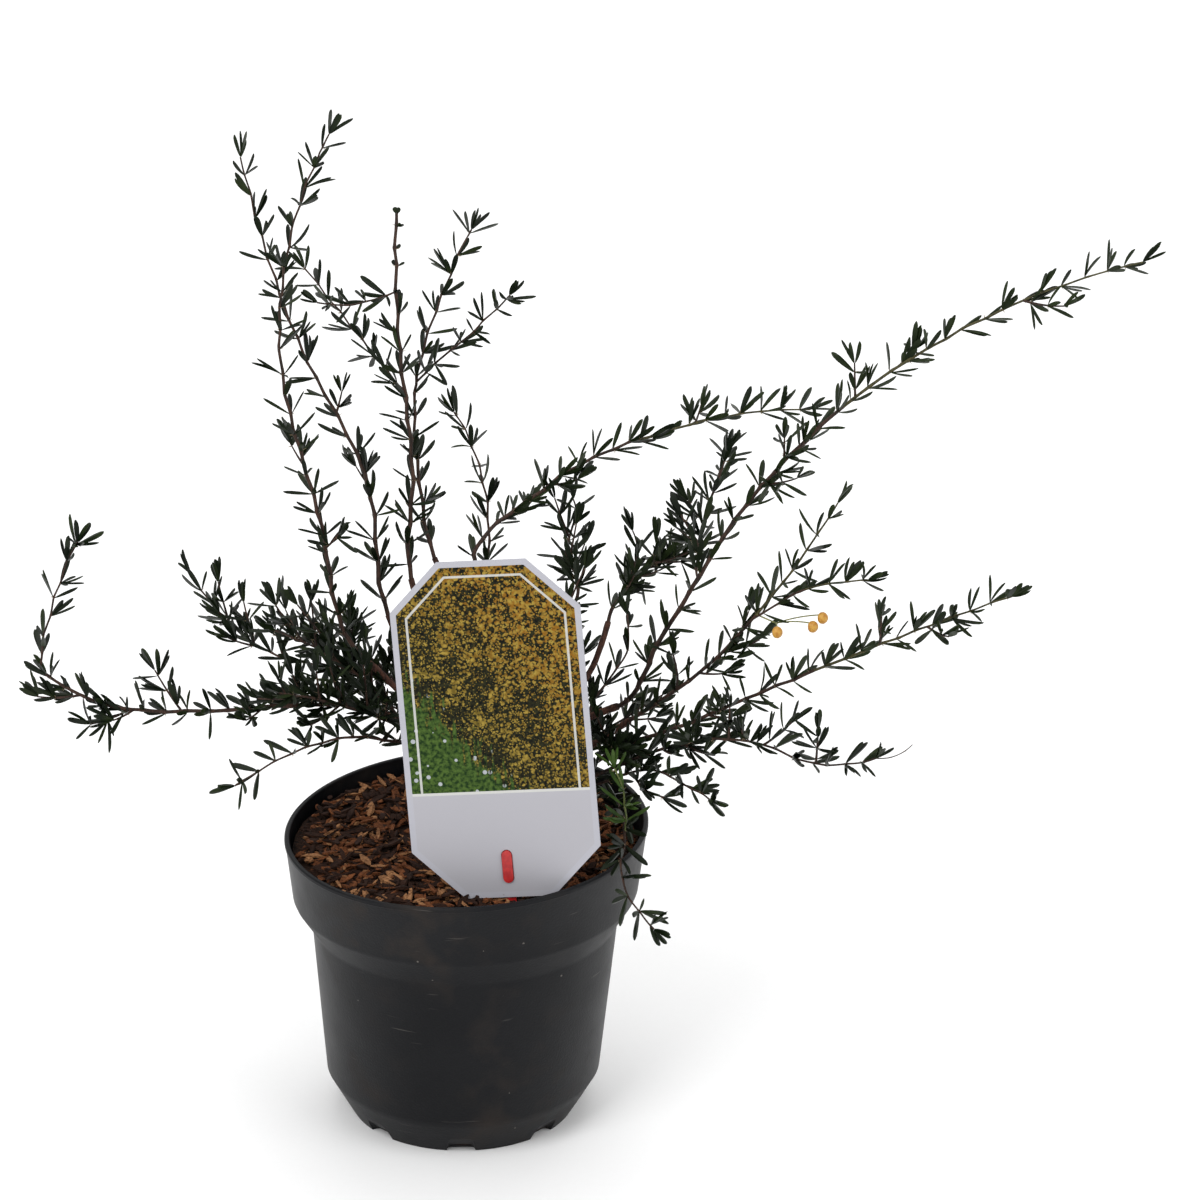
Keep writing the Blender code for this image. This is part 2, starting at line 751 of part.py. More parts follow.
def leaf_shape(base, direction, length, width, thickness):
    """Slim keeled leaf: a narrow foot, the widest part beyond the middle, and a point."""
    flat = direction.cross(Vector((0, 0, 1)))
    if flat.length < 0.2:
        flat = direction.cross(Vector((0, 1, 0)))
    flat.normalize()
    normal = flat.cross(direction).normalized()
    verts = []
    for share, grow in ((0.0, LEAF_FOOT), (LEAF_WIDEST, 1.0)):
        middle = base + direction * length * share
        verts.append(middle - flat * width * grow / 2)
        verts.append(middle + flat * width * grow / 2)
        verts.append(middle - normal * thickness * max(grow, 0.6))
    verts.append(base + direction * length)
    faces = [(0, 2, 1)]
    for k in range(3):
        n = (k + 1) % 3
        faces.append((k, n, n + 3, k + 3))
        faces.append((k + 3, n + 3, 6))
    return verts, faces


def bud_shape(middle, radius):
    """Egg-shaped bud of few faces, its stalk end up."""
    rows = ((1.0, 0.0), (0.62, 0.78), (-0.25, 0.97), (-0.85, 0.52), (-1.0, 0.0))
    sides = 5
    verts = [middle + Vector((0, 0, radius * rows[0][0] * 1.15))]
    for height, width in rows[1:-1]:
        for k in range(sides):
            angle = 2 * math.pi * k / sides
            verts.append(middle + Vector((
                radius * width * math.cos(angle), radius * width * math.sin(angle), radius * height * 1.15,
            )))
    verts.append(middle + Vector((0, 0, radius * rows[-1][0] * 1.15)))
    faces = []
    last = len(verts) - 1
    for k in range(sides):
        n = (k + 1) % sides
        faces.append((0, 1 + k, 1 + n))
        for row in range(2):
            a = 1 + row * sides
            b = a + sides
            faces.append((a + k, b + k, b + n, a + n))
        faces.append((last, 1 + 2 * sides + n, 1 + 2 * sides + k))
    return verts, faces


# Space: which node holds what, so that a leaf or twig that would touch another is skipped

class Space:
    def __init__(self):
        self.held = []

    def add(self, node, shape):
        tree = BVHTree.FromPolygons(shape[0], shape[1])
        low, high = bounds(shape[0])
        self.held.append((node, tree, low, high))

    def is_free(self, node, shape):
        """Says whether a shape stays clear of what other nodes hold, and of the mulch."""
        tree = BVHTree.FromPolygons(shape[0], shape[1])
        low, high = bounds(shape[0])
        for owner, other, other_low, other_high in self.held:
            if owner == node:
                continue
            apart = any(low[k] > other_high[k] or high[k] < other_low[k] for k in range(3))
            if not apart and tree.overlap(other):
                return False
        return not any(in_mulch(vert) for vert in shape[0])


def bounds(verts):
    low = tuple(min(vert[k] for vert in verts) for k in range(3))
    high = tuple(max(vert[k] for vert in verts) for k in range(3))
    return low, high


def in_mulch(point):
    return point.z < SOIL_TOP + SOIL_BUMP and math.hypot(point.x, point.y) < RIM_RADIUS


def mesh_shape(obj):
    return [vert.co.copy() for vert in obj.data.vertices], [tuple(face.vertices) for face in obj.data.polygons]


# Shoots

def shoot_nodes(name, paths, rng):
    """Nodes along a shoot, each a little to one side of its smooth path."""
    path = paths[name]
    limb = SHOOTS[name]
    start = 0.0
    if SHOOTS[name].parent not in SHOOTS:
        start = collar_length(name, paths) + GAP
    count = max(2, round((path.length - start) / NODE_STEP))
    points = []
    for i in range(count + 1):
        distance = start + (path.length - start) * i / count
        point = path.point(distance)
        if 0 < i < count:
            heading = path.heading(distance)
            side = heading.orthogonal().normalized()
            side.rotate(Matrix.Rotation(GOLDEN_ANGLE * i * 0.5 + rng.uniform(0, 1), 3, heading))
            point = point + side * ZIGZAG * (1 if i % 2 else -1)
        points.append(point)
    radii = [(limb.thick + (limb.thin - limb.thick) * i / count) * MM for i in range(count + 1)]
    return points, radii


def stem_shape(name, paths, points, radii, extra=0.0):
    first = paths[name].heading(collar_length(name, paths))
    return tube(points, [radius + extra for radius in radii], TWIG_SIDES, first)


def leaf_direction(heading, turn, spread, rise):
    """Direction of a leaf: out from the stem and forward, and up on a level shoot."""
    side = heading.orthogonal().normalized()
    side.rotate(Matrix.Rotation(turn, 3, heading))
    level = 1 - abs(heading.z)
    direction = heading * math.cos(spread) + side * math.sin(spread) + Vector((0, 0, rise * level))
    return direction.normalized()


def grow_leaves(node, points, rng, space, count=LEAVES_AT_NODE):
    """Leaves midway along each length of a stem and at its tip, turned on by the golden angle."""
    leaves = []
    turn = rng.uniform(0, 2 * math.pi)
    last = len(points) - 1
    for i in range(1, last + 2):
        at_tip = i > last
        before, after = (points[last - 1], points[last]) if at_tip else (points[i - 1], points[i])
        heading = (after - before).normalized()
        middle = after if at_tip else before.lerp(after, 0.5)
        turn += GOLDEN_ANGLE
        for k in range(1 if at_tip else count):
            spread = LEAF_SPREAD * rng.uniform(0.8, 1.15)
            sink = LEAF_SINK
            if at_tip:
                spread = TIP_SPREAD
                sink = TIP_SINK
            length = LEAF_LENGTH * rng.uniform(0.82, 1.08)
            direction = leaf_direction(heading, turn + 2 * math.pi * k / count, spread, LEAF_RISE)
            base = middle - direction * sink - heading * (TIP_SINK if at_tip else 0.0)
            wide = leaf_shape(
                base, direction, length + CLEARANCE,
                LEAF_WIDTH + 2 * CLEARANCE, LEAF_THICKNESS + 2 * CLEARANCE,
            )
            if space.is_free(node, wide):
                leaf = leaf_shape(base, direction, length, LEAF_WIDTH, LEAF_THICKNESS)
                leaves.append(leaf)
                space.add(node, leaf)
    return leaves


def grow_spurs(node, points, rng, space):
    """Short side twigs with leaves, every few nodes of a shoot, where there is room."""
    shapes = []
    for i in range(1, len(points) - 1, SPUR_EVERY):
        heading = (points[i + 1] - points[i - 1]).normalized()
        direction = leaf_direction(heading, rng.uniform(0, 2 * math.pi), math.radians(58), 0.35)
        length = rng.uniform(*SPUR_LENGTH)
        tip = points[i] + direction * length
        stem = tube([points[i], tip], [SPUR_RADIUS, SPUR_RADIUS * 0.7], TWIG_SIDES)
        wide = tube([points[i], tip], [SPUR_RADIUS + CLEARANCE] * 2, TWIG_SIDES)
        if space.is_free(node, wide):
            space.add(node, stem)
            shapes.append(stem)
            shapes.extend(grow_leaves(node, [points[i], tip], rng, space))
    return shapes


def grow_buds(paths, node, space):
    """Egg-shaped buds on thin stalks that hang from the rising shoot."""
    path = paths[BUD_PARENT]
    root = path.point(path.length * BUD_AT)
    knot = root + Vector((0.010, -0.004, -0.003))
    shapes = [tube([root, knot], [STALK_RADIUS] * 2, TWIG_SIDES)]
    for place in BUDS:
        middle = Vector(place) * MM
        top = middle + Vector((0, 0, BUD_RADIUS * 0.6))
        bend = knot.lerp(top, 0.5) + Vector((0, 0, 0.002))
        shapes.append(tube([knot - (bend - knot) * 0.1, bend, top], [STALK_RADIUS] * 3, TWIG_SIDES))
        shapes.append(bud_shape(middle, BUD_RADIUS))
    for shape in shapes:
        space.add(node, shape)
    return shapes


def keep_outer_shell(obj):
    """Drops loose scraps and sealed hollows that fusing leaves, and keeps the main shell."""
    bm = bmesh.new()
    bm.from_mesh(obj.data)
    unseen = set(bm.faces)
    shells = []
    while unseen:
        front = [unseen.pop()]
        shell = list(front)
        while front:
            face = front.pop()
            for edge in face.edges:
                for other in edge.link_faces:
                    if other in unseen:
                        unseen.remove(other)
                        shell.append(other)
                        front.append(other)
        shells.append(shell)
    shells.sort(key=len)
    for shell in shells[:-1]:
        bmesh.ops.delete(bm, geom=shell, context="FACES")
    bm.to_mesh(obj.data)
    bm.free()


def fuse(name, shapes):
    """Joins closed shapes into one solid by a single union on a collection."""
    obj = object_from(name, shapes[0])
    if len(shapes) > 1:
        rest = [object_from("piece", shape) for shape in shapes[1:]]
        apply_boolean(obj, "UNION", gather(name + "_pieces", rest), "MANIFOLD")
        keep_outer_shell(obj)
    return obj


def children_of(name):
    return [child for child, limb in all_limbs().items() if limb.parent == name]


def collar_shapes(name, paths):
    """Stubs on a limb, one where each child starts from its side."""
    shapes = []
    for child in children_of(name):
        limb = all_limbs()[child]
        length = collar_length(child, paths)
        if length == 0.0 or limb.node == all_limbs().get(name, limb).node and name != "stool":
            continue
        path = paths[child]
        points = [path.point(length * i / 2) for i in range(3)]
        radii = [limb.thick * MM * grow for grow in (1.04, 1.02, 1.0)]
        shapes.append(tube(points, radii, BOUGH_SIDES, None, path.heading(length)))
    return shapes


def stool_shape(path):
    """Tapered foot with a lobed flare, cut flat at the mulch."""
    verts = []
    faces = []
    shares = [share for share, radius in STOOL_RADII]
    for share, radius in STOOL_RADII:
        middle = path.point(path.length * share)
        lobe = STOOL_LOBE_DEPTH * (1 - share) ** 3
        for k in range(STOOL_SIDES):
            angle = 2 * math.pi * k / STOOL_SIDES
            reach = radius * (1 + lobe * math.cos(STOOL_LOBES * angle))
            verts.append(middle + Vector((reach * math.cos(angle), reach * math.sin(angle), 0)))
    for ring in range(len(shares) - 1):
        a = ring * STOOL_SIDES
        b = a + STOOL_SIDES
        for k in range(STOOL_SIDES):
            n = (k + 1) % STOOL_SIDES
            faces.append((a + k, a + n, b + n, b + k))
    faces.append(tuple(range(STOOL_SIDES - 1, -1, -1)))
    last = (len(shares) - 1) * STOOL_SIDES
    faces.append(tuple(last + k for k in range(STOOL_SIDES)))
    return verts, faces


def bough_shape(name, paths, extra=0.0):
    limb = BOUGHS[name]
    path = paths[name]
    start = collar_length(name, paths) + GAP
    count = max(3, round((path.length - start) / BOUGH_STEP))
    points = []
    radii = []
    for i in range(count + 1):
        distance = start + (path.length - start - GAP * (i == count)) * i / count
        points.append(path.point(distance))
        radii.append(radius_at(name, paths, distance) + extra)
    return tube(points, radii, BOUGH_SIDES, path.heading(start))


def build_limbs(paths, space):
    stool = stool_shape(paths["stool"])
    shapes = [stool] + collar_shapes("stool", paths)
    for shape in shapes:
        space.add("stool", shape)
    obj = fuse("stool", shapes)
    smooth(obj, 50)
    finish(obj, (0.10, 0.055, 0.035), 0.85)
    for name in BOUGHS:
        shapes = [bough_shape(name, paths)] + collar_shapes(name, paths)
        for shape in shapes:
            space.add(name, shape)
        obj = fuse(name, shapes)
        smooth(obj, 60)
        finish(obj, (0.12, 0.060, 0.040), 0.8)


def build_foliage(paths, space):
    """Grows every mass: all stems first, so that leaves give way to them, then the leaves."""
    stems = {}
    for number, (name, limb) in enumerate(SHOOTS.items()):
        rng = random.Random(SEED + number)
        points, radii = shoot_nodes(name, paths, rng)
        shape = stem_shape(name, paths, points, radii)
        space.add(limb.node, shape)
        stems[name] = (points, rng, shape)
    masses = {}
    for name, limb in SHOOTS.items():
        points, rng, shape = stems[name]
        shapes = masses.setdefault(limb.node, [])
        shapes.append(shape)
        if name == BUD_PARENT:
            shapes.extend(grow_buds(paths, limb.node, space))
        shapes.extend(grow_leaves(limb.node, points, rng, space))
        if name in BUSHY:
            shapes.extend(grow_spurs(limb.node, points, rng, space))
    for node, shapes in masses.items():
        obj = fuse(node, shapes)
        finish(obj, (0.022, 0.045, 0.018), 0.5)


def main():
    clear_scene()
    space = Space()
    for obj in (build_pot(), build_soil(), build_card(), build_peg()):
        space.add(obj.name, mesh_shape(obj))
    paths = trace_paths()
    build_limbs(paths, space)
    build_foliage(paths, space)


main()
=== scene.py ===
"""Looks of the potted rosemary barberry: bark, twigs, leaves, mulch, pot and label card.

Everything is in metres in the frame's own axes: +Z up, and -Y towards the front. Places and
radii in the tables of limbs are in millimetres. Scales of noise and cells are in repeats a
metre, or in repeats a card height on the card.
"""
import json
import logging
import math
from dataclasses import dataclass, field
from enum import Enum
from typing import Optional

import bpy
import numpy as np
from mathutils import Matrix, Vector

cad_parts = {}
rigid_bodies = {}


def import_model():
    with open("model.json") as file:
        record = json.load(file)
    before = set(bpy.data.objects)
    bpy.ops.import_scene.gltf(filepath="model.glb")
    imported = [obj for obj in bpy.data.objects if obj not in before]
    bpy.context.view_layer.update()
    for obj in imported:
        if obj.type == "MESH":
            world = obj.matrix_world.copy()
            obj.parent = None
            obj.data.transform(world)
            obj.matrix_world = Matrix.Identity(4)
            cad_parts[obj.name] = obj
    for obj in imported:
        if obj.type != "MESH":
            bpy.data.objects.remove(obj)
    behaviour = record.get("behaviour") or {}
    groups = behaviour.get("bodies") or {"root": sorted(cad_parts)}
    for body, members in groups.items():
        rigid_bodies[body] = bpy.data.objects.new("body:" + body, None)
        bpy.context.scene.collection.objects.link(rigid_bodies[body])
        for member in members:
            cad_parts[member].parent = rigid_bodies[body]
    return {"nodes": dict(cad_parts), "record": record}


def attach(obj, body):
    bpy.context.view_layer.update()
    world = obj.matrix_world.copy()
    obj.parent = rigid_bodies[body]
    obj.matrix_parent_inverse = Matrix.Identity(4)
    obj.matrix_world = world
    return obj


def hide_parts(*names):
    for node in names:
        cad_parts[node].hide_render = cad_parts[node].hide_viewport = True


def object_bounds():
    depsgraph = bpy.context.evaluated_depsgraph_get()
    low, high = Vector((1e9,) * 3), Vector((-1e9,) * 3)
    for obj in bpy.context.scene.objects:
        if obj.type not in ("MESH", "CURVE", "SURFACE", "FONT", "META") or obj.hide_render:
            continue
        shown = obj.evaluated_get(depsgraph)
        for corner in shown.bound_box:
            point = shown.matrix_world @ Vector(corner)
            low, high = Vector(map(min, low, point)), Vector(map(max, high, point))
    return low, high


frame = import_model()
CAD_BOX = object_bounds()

LOG = logging.getLogger("barberry")
MM = 0.001
GOLDEN_ANGLE = math.radians(137.5)
UP = np.array([[0.0, 0.0, 1.0]])

# Bark's ridges: height, number round the limb, turn in radians a metre, and first angle.
RIDGES = ((1.0, 5, 260.0, 0.0), (0.7, 3, -410.0, 1.0), (0.6, 7, 900.0, 2.0))


class Tint(Enum):
    """Colour groups that leaves and twigs are dealt into, from dark to light."""

    DARK = "dark"
    MIDDLE = "middle"
    FRESH = "fresh"


# Meshes from arrays

@dataclass
class Shape:
    """A mesh as arrays: points, four-sided faces and three-sided faces."""

    points: np.ndarray
    quads: np.ndarray = field(default_factory=lambda: np.zeros((0, 4), int))
    tris: np.ndarray = field(default_factory=lambda: np.zeros((0, 3), int))


def joined(shapes: list[Shape]) -> Shape:
    """Joins shapes into one.

    Args:
        shapes: The shapes to join.

    Returns:
        One shape with all their points and faces.
    """
    offsets = np.cumsum([0] + [len(shape.points) for shape in shapes[:-1]])
    return Shape(
        np.concatenate([shape.points for shape in shapes]),
        np.concatenate([shape.quads + offset for shape, offset in zip(shapes, offsets)]),
        np.concatenate([shape.tris + offset for shape, offset in zip(shapes, offsets)]),
    )


def mesh_object(name: str, shape: Shape, smooth_angle: Optional[float]) -> bpy.types.Object:
    """Makes an object of a shape.

    Args:
        name: The piece's name.
        shape: Its points and faces.
        smooth_angle: Edges sharper than this, in degrees, stay sharp. None keeps it flat.

    Returns:
        The linked object.
    """
    mesh = bpy.data.meshes.new(name)
    mesh.vertices.add(len(shape.points))
    mesh.vertices.foreach_set("co", shape.points.astype(np.float32).ravel())
    corners = np.concatenate([shape.quads.ravel(), shape.tris.ravel()]).astype(np.int32)
    sizes = np.concatenate([np.full(len(shape.quads), 4), np.full(len(shape.tris), 3)])
    mesh.loops.add(len(corners))
    mesh.loops.foreach_set("vertex_index", corners)
    mesh.polygons.add(len(sizes))
    starts = np.concatenate([[0], np.cumsum(sizes)[:-1]]).astype(np.int32)
    mesh.polygons.foreach_set("loop_start", starts)
    mesh.update(calc_edges=True)
    mesh.validate()
    if smooth_angle is not None:
        mesh.shade_smooth()
        mesh.set_sharp_from_angle(angle=math.radians(smooth_angle))
    return linked(name, mesh)


def linked(name: str, data: bpy.types.ID) -> bpy.types.Object:
    """Puts a mesh, curve, light or camera into the scene.

    Args:
        name: The object's name.
        data: What it shows.

    Returns:
        The linked object.
    """
    obj = bpy.data.objects.new(name, data)
    bpy.context.scene.collection.objects.link(obj)
    return obj


def baked(obj: bpy.types.Object) -> bpy.types.Mesh:
    """The mesh that an object's curve or modifiers make."""
    return bpy.data.meshes.new_from_object(obj.evaluated_get(bpy.context.evaluated_depsgraph_get()))


def column(rows: bpy.types.bpy_prop_collection, name: str, width: int, kind: type) -> np.ndarray:
    """Reads one property of a mesh's rows.

    Args:
        rows: The mesh's points, faces or corners.
        name: The property.
        width: How many numbers a row has.
        kind: Type of the numbers.

    Returns:
        All the numbers, one row after another.
    """
    values = np.zeros(len(rows) * width, kind)
    rows.foreach_get(name, values)
    return values


def settled(
    obj: bpy.types.Object, finish: bpy.types.Material, slot: str, *nodes: str,
) -> bpy.types.Object:
    """Dresses a piece and says what it belongs to.

    Args:
        obj: The piece.
        finish: Its material.
        slot: The record's material slot; not used.
        *nodes: The CAD nodes that it stands for, if any.

    Returns:
        The same piece.
    """
    obj.data.materials.clear()
    obj.data.materials.append(finish)
    if nodes:
        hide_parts(*nodes)
    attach(obj, "root")
    return obj


def unit(vectors: np.ndarray) -> np.ndarray:
    """Scales vectors to length 1 along the last axis."""
    return vectors / np.maximum(np.linalg.norm(vectors, axis=-1, keepdims=True), 1e-12)


def squared(vectors: np.ndarray, axes: np.ndarray) -> np.ndarray:
    """Turns vectors square to axes, at length 1: the vector less its share along the axis."""
    return unit(vectors - axes * (vectors * axes).sum(-1, keepdims=True))


def towards(bearing: float, rise: float) -> np.ndarray:
    """Unit vector for a bearing and a rise in degrees."""
    b, r = math.radians(bearing), math.radians(rise)
    return np.array([math.cos(b) * math.cos(r), math.sin(b) * math.cos(r), math.sin(r)])


def run_lengths(points: np.ndarray) -> np.ndarray:
    """Each point's distance from the first, measured along the line."""
    return np.concatenate([[0], np.cumsum(np.linalg.norm(np.diff(points, axis=0), axis=1))])


def across(headings: np.ndarray) -> tuple[np.ndarray, np.ndarray]:
    """Two unit vectors square to each heading and to each other.

    Args:
        headings: Unit vectors, one a row.

    Returns:
        The first and the second side vector of each.
    """
    helper = np.where(np.abs(headings[:, 2:3]) < 0.9, UP, [[0.0, 1.0, 0.0]])
    first = unit(np.cross(headings, helper))
    return first, np.cross(headings, first)


def closed_rings(rings: np.ndarray, low_end: np.ndarray, high_end: np.ndarray) -> Shape:
    """Joins rings by four-sided faces and closes both ends with a fan of three-sided ones.

    Args:
        rings: Points by ring, place in the ring and axis.
        low_end: Middle of the first ring's fan.
        high_end: Middle of the last ring's fan.

    Returns:
        The closed shape.
    """
    count, sides = rings.shape[:2]
    start = np.arange(count - 1)[:, None] * sides
    k = np.arange(sides)
    n = (k + 1) % sides
    quads = np.stack([start + k, start + n, start + sides + n, start + sides + k], -1)
    base, last = count * sides, (count - 1) * sides
    low = np.stack([np.full(sides, base), n, k], -1)
    high = np.stack([np.full(sides, base + 1), last + k, last + n], -1)
    points = np.concatenate([rings.reshape(-1, 3), [low_end, high_end]])
    return Shape(points, quads.reshape(-1, 4), np.concatenate([low, high]))


def tube(points: np.ndarray, radii: np.ndarray, sides: int, relief: float = 0.0) -> Shape:
    """Closed tube along a line of points.

    The radius at angle a and distance s is r(s) * (1 + relief * ridges(a, s)), where ridges
    is the sum of h * sin(n * a + t * s + f) over the rows of RIDGES.

    Args:
        points: The line, one point a row.
        radii: Radius at each point.
        sides: Points in each ring.
        relief: Depth of the bark's ridges as a share of the radius.

    Returns:
        The tube with closed ends.
    """
    headings = unit(np.gradient(points, axis=0))
    first = np.zeros_like(points)
    side = across(headings[:1])[0][0]
    for i, heading in enumerate(headings):
        side = side - heading * side.dot(heading)
        side = side / np.linalg.norm(side)
        first[i] = side
    second = np.cross(headings, first)
    angle = np.linspace(0, 2 * np.pi, sides, endpoint=False)
    along = run_lengths(points)[:, None]
    ridges = sum(
        height * np.sin(number * angle + turn * along + start) for height, number, turn, start in RIDGES)
    reach = radii[:, None] * (1 + relief * ridges)
    rings = (
        points[:, None] + first[:, None] * (reach * np.cos(angle))[..., None]
        + second[:, None] * (reach * np.sin(angle))[..., None]
    )
    return closed_rings(rings, points[0], points[-1])


def revolved(profile: np.ndarray, segments: int) -> Shape:
    """Turns a (radius, height) profile round Z: x = r cos a, y = r sin a, z = height.

    Args:
        profile: Points from the axis outwards and back to the axis.
        segments: Steps round the axis.

    Returns:
        The turned shape, its first and last profile points being poles.
    """
    angle = np.linspace(0, 2 * np.pi, segments, endpoint=False)
    radius, height = profile[1:-1, :1], profile[1:-1, 1:]
    rings = np.stack(
        [radius * np.cos(angle), radius * np.sin(angle), np.repeat(height, segments, axis=1)], -1)
    return closed_rings(rings, np.array([0, 0, profile[0, 1]]), np.array([0, 0, profile[-1, 1]]))


# Shader maths

class Wire:
    """A shader socket that adds Math nodes when Python's operators act on it."""

    def __init__(self, shader: "Shader", socket: bpy.types.NodeSocket) -> None:
        """Wraps an output socket of a shader's tree."""
        self.shader = shader
        self.socket = socket

    def _math(self, operation: str, *values: object) -> "Wire":
        """Adds one Math node."""
        return self.shader.node("ShaderNodeMath", {"operation": operation}, dict(enumerate(values)))

    def __add__(self, other: object) -> "Wire":
        """Sum."""
        return self._math("ADD", self, other)

    __radd__ = __add__

    def __mul__(self, other: object) -> "Wire":
        """Product."""
        return self._math("MULTIPLY", self, other)

    __rmul__ = __mul__

    def __sub__(self, other: object) -> "Wire":
        """Difference."""
        return self._math("SUBTRACT", self, other)

    def __rsub__(self, other: object) -> "Wire":
        """Difference, the other way."""
        return self._math("SUBTRACT", other, self)

    def __abs__(self) -> "Wire":
        """Absolute value."""
        return self._math("ABSOLUTE", self)

    def above(self, edge: object) -> "Wire":
        """1 where the value is above an edge, else 0."""
        return self._math("GREATER_THAN", self, edge)

    def below(self, edge: object) -> "Wire":
        """1 where the value is below an edge, else 0."""
        return self._math("LESS_THAN", self, edge)

    def larger(self, other: object) -> "Wire":
        """The larger of two values."""
        return self._math("MAXIMUM", self, other)

    def ramp(self, low: float, high: float) -> "Wire":
        """0 at low, 1 at high, and even between them."""
        inputs = {"Value": self, "From Min": low, "From Max": high}
        return self.shader.node("ShaderNodeMapRange", {"clamp": True}, inputs)


class Shader:
    """A material under construction."""

    def __init__(self, name: str) -> None:
        """Starts a material with a Principled shader.

        Args:
            name: The material's name.
        """
        self.material = bpy.data.materials.new(name)
        self.material.use_nodes = True
        self.tree = self.material.node_tree
        self.principled = self.tree.nodes["Principled BSDF"]

    def node(self, kind: str, settings: dict, inputs: dict, output: object = 0) -> Wire:
        """Adds a node.

        Args:
            kind: The node's type.
            settings: Its own settings, set first.
            inputs: Values or wires for its sockets, by name or number.
            output: The output socket's name or number.

        Returns:
            The wire from that output.
        """
        node = self.tree.nodes.new(kind)
        for key, value in settings.items():
            setattr(node, key, value)
        for key, value in inputs.items():
            self.feed(node.inputs[key], value)
        return Wire(self, node.outputs[output])

    def feed(self, socket: bpy.types.NodeSocket, value: object) -> None:
        """Links or sets an input socket.

        Args:
            socket: The input.
            value: A wire to link to it, or the value that it takes.
        """
        if isinstance(value, Wire):
            self.tree.links.new(value.socket, socket)
        else:
            socket.default_value = value

    def place(self) -> Wire:
        """Object coordinates."""
        return self.node("ShaderNodeTexCoord", {}, {}, "Object")

    def noise(self, scale: float, detail: float = 3.0, place: Optional[Wire] = None) -> Wire:
        """Noise from 0 to 1."""
        inputs = {"Scale": scale, "Detail": detail, "Vector": place or self.place()}
        return self.node("ShaderNodeTexNoise", {}, inputs, "Fac")

    def cells(self, scale: float, place: Optional[Wire] = None) -> Wire:
        """Distance from the nearest of many scattered points, in cells."""
        inputs = {"Scale": scale, "Vector": place or self.place()}
        return self.node("ShaderNodeTexVoronoi", {"feature": "F1"}, inputs, "Distance")

    def stretched(
        self, scale: tuple, turn: tuple = (0.0, 0.0, 0.0), place: Optional[Wire] = None,
    ) -> Wire:
        """Coordinates turned, and scaled along each axis."""
        inputs = {"Vector": place or self.place(), "Scale": scale, "Rotation": turn}
        return self.node("ShaderNodeMapping", {}, inputs)

    def split(self, place: Wire) -> tuple[Wire, Wire]:
        """The first two numbers of a vector."""
        first = self.node("ShaderNodeSeparateXYZ", {}, {"Vector": place}, "X")
        return first, Wire(self, first.socket.node.outputs["Y"])

    def mix(self, share: object, first: object, second: object) -> Wire:
        """Mixes two colours; the Mix node's colour sockets go by number."""
        inputs = {0: share, 6: first, 7: second}
        return self.node("ShaderNodeMix", {"data_type": "RGBA"}, inputs, 2)

    def finish(
        self, colour: object, roughness: object, bump: Optional[Wire] = None,
        depth: float = 0.0002, **constants: float,
    ) -> bpy.types.Material:
        """Feeds the Principled shader.

        Args:
            colour: Colour or wire.
            roughness: Value or wire.
            bump: Height wire from 0 to 1, if any.
            depth: The height of 1, in metres.
            **constants: Other sockets' values, their names with underscores.

        Returns:
            The finished material.
        """
        self.feed(self.principled.inputs["Base Color"], colour)
        self.feed(self.principled.inputs["Roughness"], roughness)
        for key, value in constants.items():
            self.principled.inputs[key.replace("_", " ")].default_value = value
        if bump is not None:
            normal = self.node("ShaderNodeBump", {}, {"Height": bump, "Distance": depth}, "Normal")
            self.feed(self.principled.inputs["Normal"], normal)
        return self.material


def rgb(red: float, green: float, blue: float) -> tuple[float, float, float, float]:
    """Colour with full alpha, in linear values."""
    return (red, green, blue, 1.0)


@dataclass(frozen=True)
class Finish:
    """What the finishes of two near colours share."""

    name: str
    shade: tuple
    light: tuple


@dataclass(frozen=True)
class LeafFinish(Finish):
    """Narrow evergreen leaf: two near colours that drift over the plant."""

    roughness: float = 0.42
    drift_scale: float = 90.0
    mottle_scale: float = 900.0
    relief: float = 0.00004

    def material(self) -> bpy.types.Material:
        """Mixes the colours by slow noise and breaks the gloss up by fine noise.

        Returns:
            The material.
        """
        shader = Shader(self.name)
        drift = shader.noise(self.drift_scale, 2.0).ramp(0.35, 0.65)
        mottle = shader.noise(self.mottle_scale, 2.0)
        colour = shader.mix(drift, self.shade, self.light)
        roughness = mottle * 0.12 + (self.roughness - 0.06)
        return shader.finish(colour, roughness, mottle, self.relief, Specular_IOR_Level=0.14)


@dataclass(frozen=True)
class BarkFinish(Finish):
    """Bark with upright streaks in two colours and fine relief."""

    roughness: float = 0.8
    relief: float = 0.0002
    streak_scale: tuple = (900.0, 900.0, 160.0)
    patch_scale: float = 120.0

    def material(self) -> bpy.types.Material:
        """Mixes the colours by streaks, which also raise the relief, and by patches.

        Returns:
            The material.
        """
        shader = Shader(self.name)
        streaks = shader.noise(1.0, 4.0, shader.stretched(self.streak_scale))
        patches = shader.noise(self.patch_scale, 3.0)
        share = (streaks * 0.6 + patches * 0.4).ramp(0.38, 0.62)
        colour = shader.mix(share, self.shade, self.light)
        roughness = streaks * 0.2 + (self.roughness - 0.1)
        return shader.finish(colour, roughness, streaks, self.relief, Specular_IOR_Level=0.25)


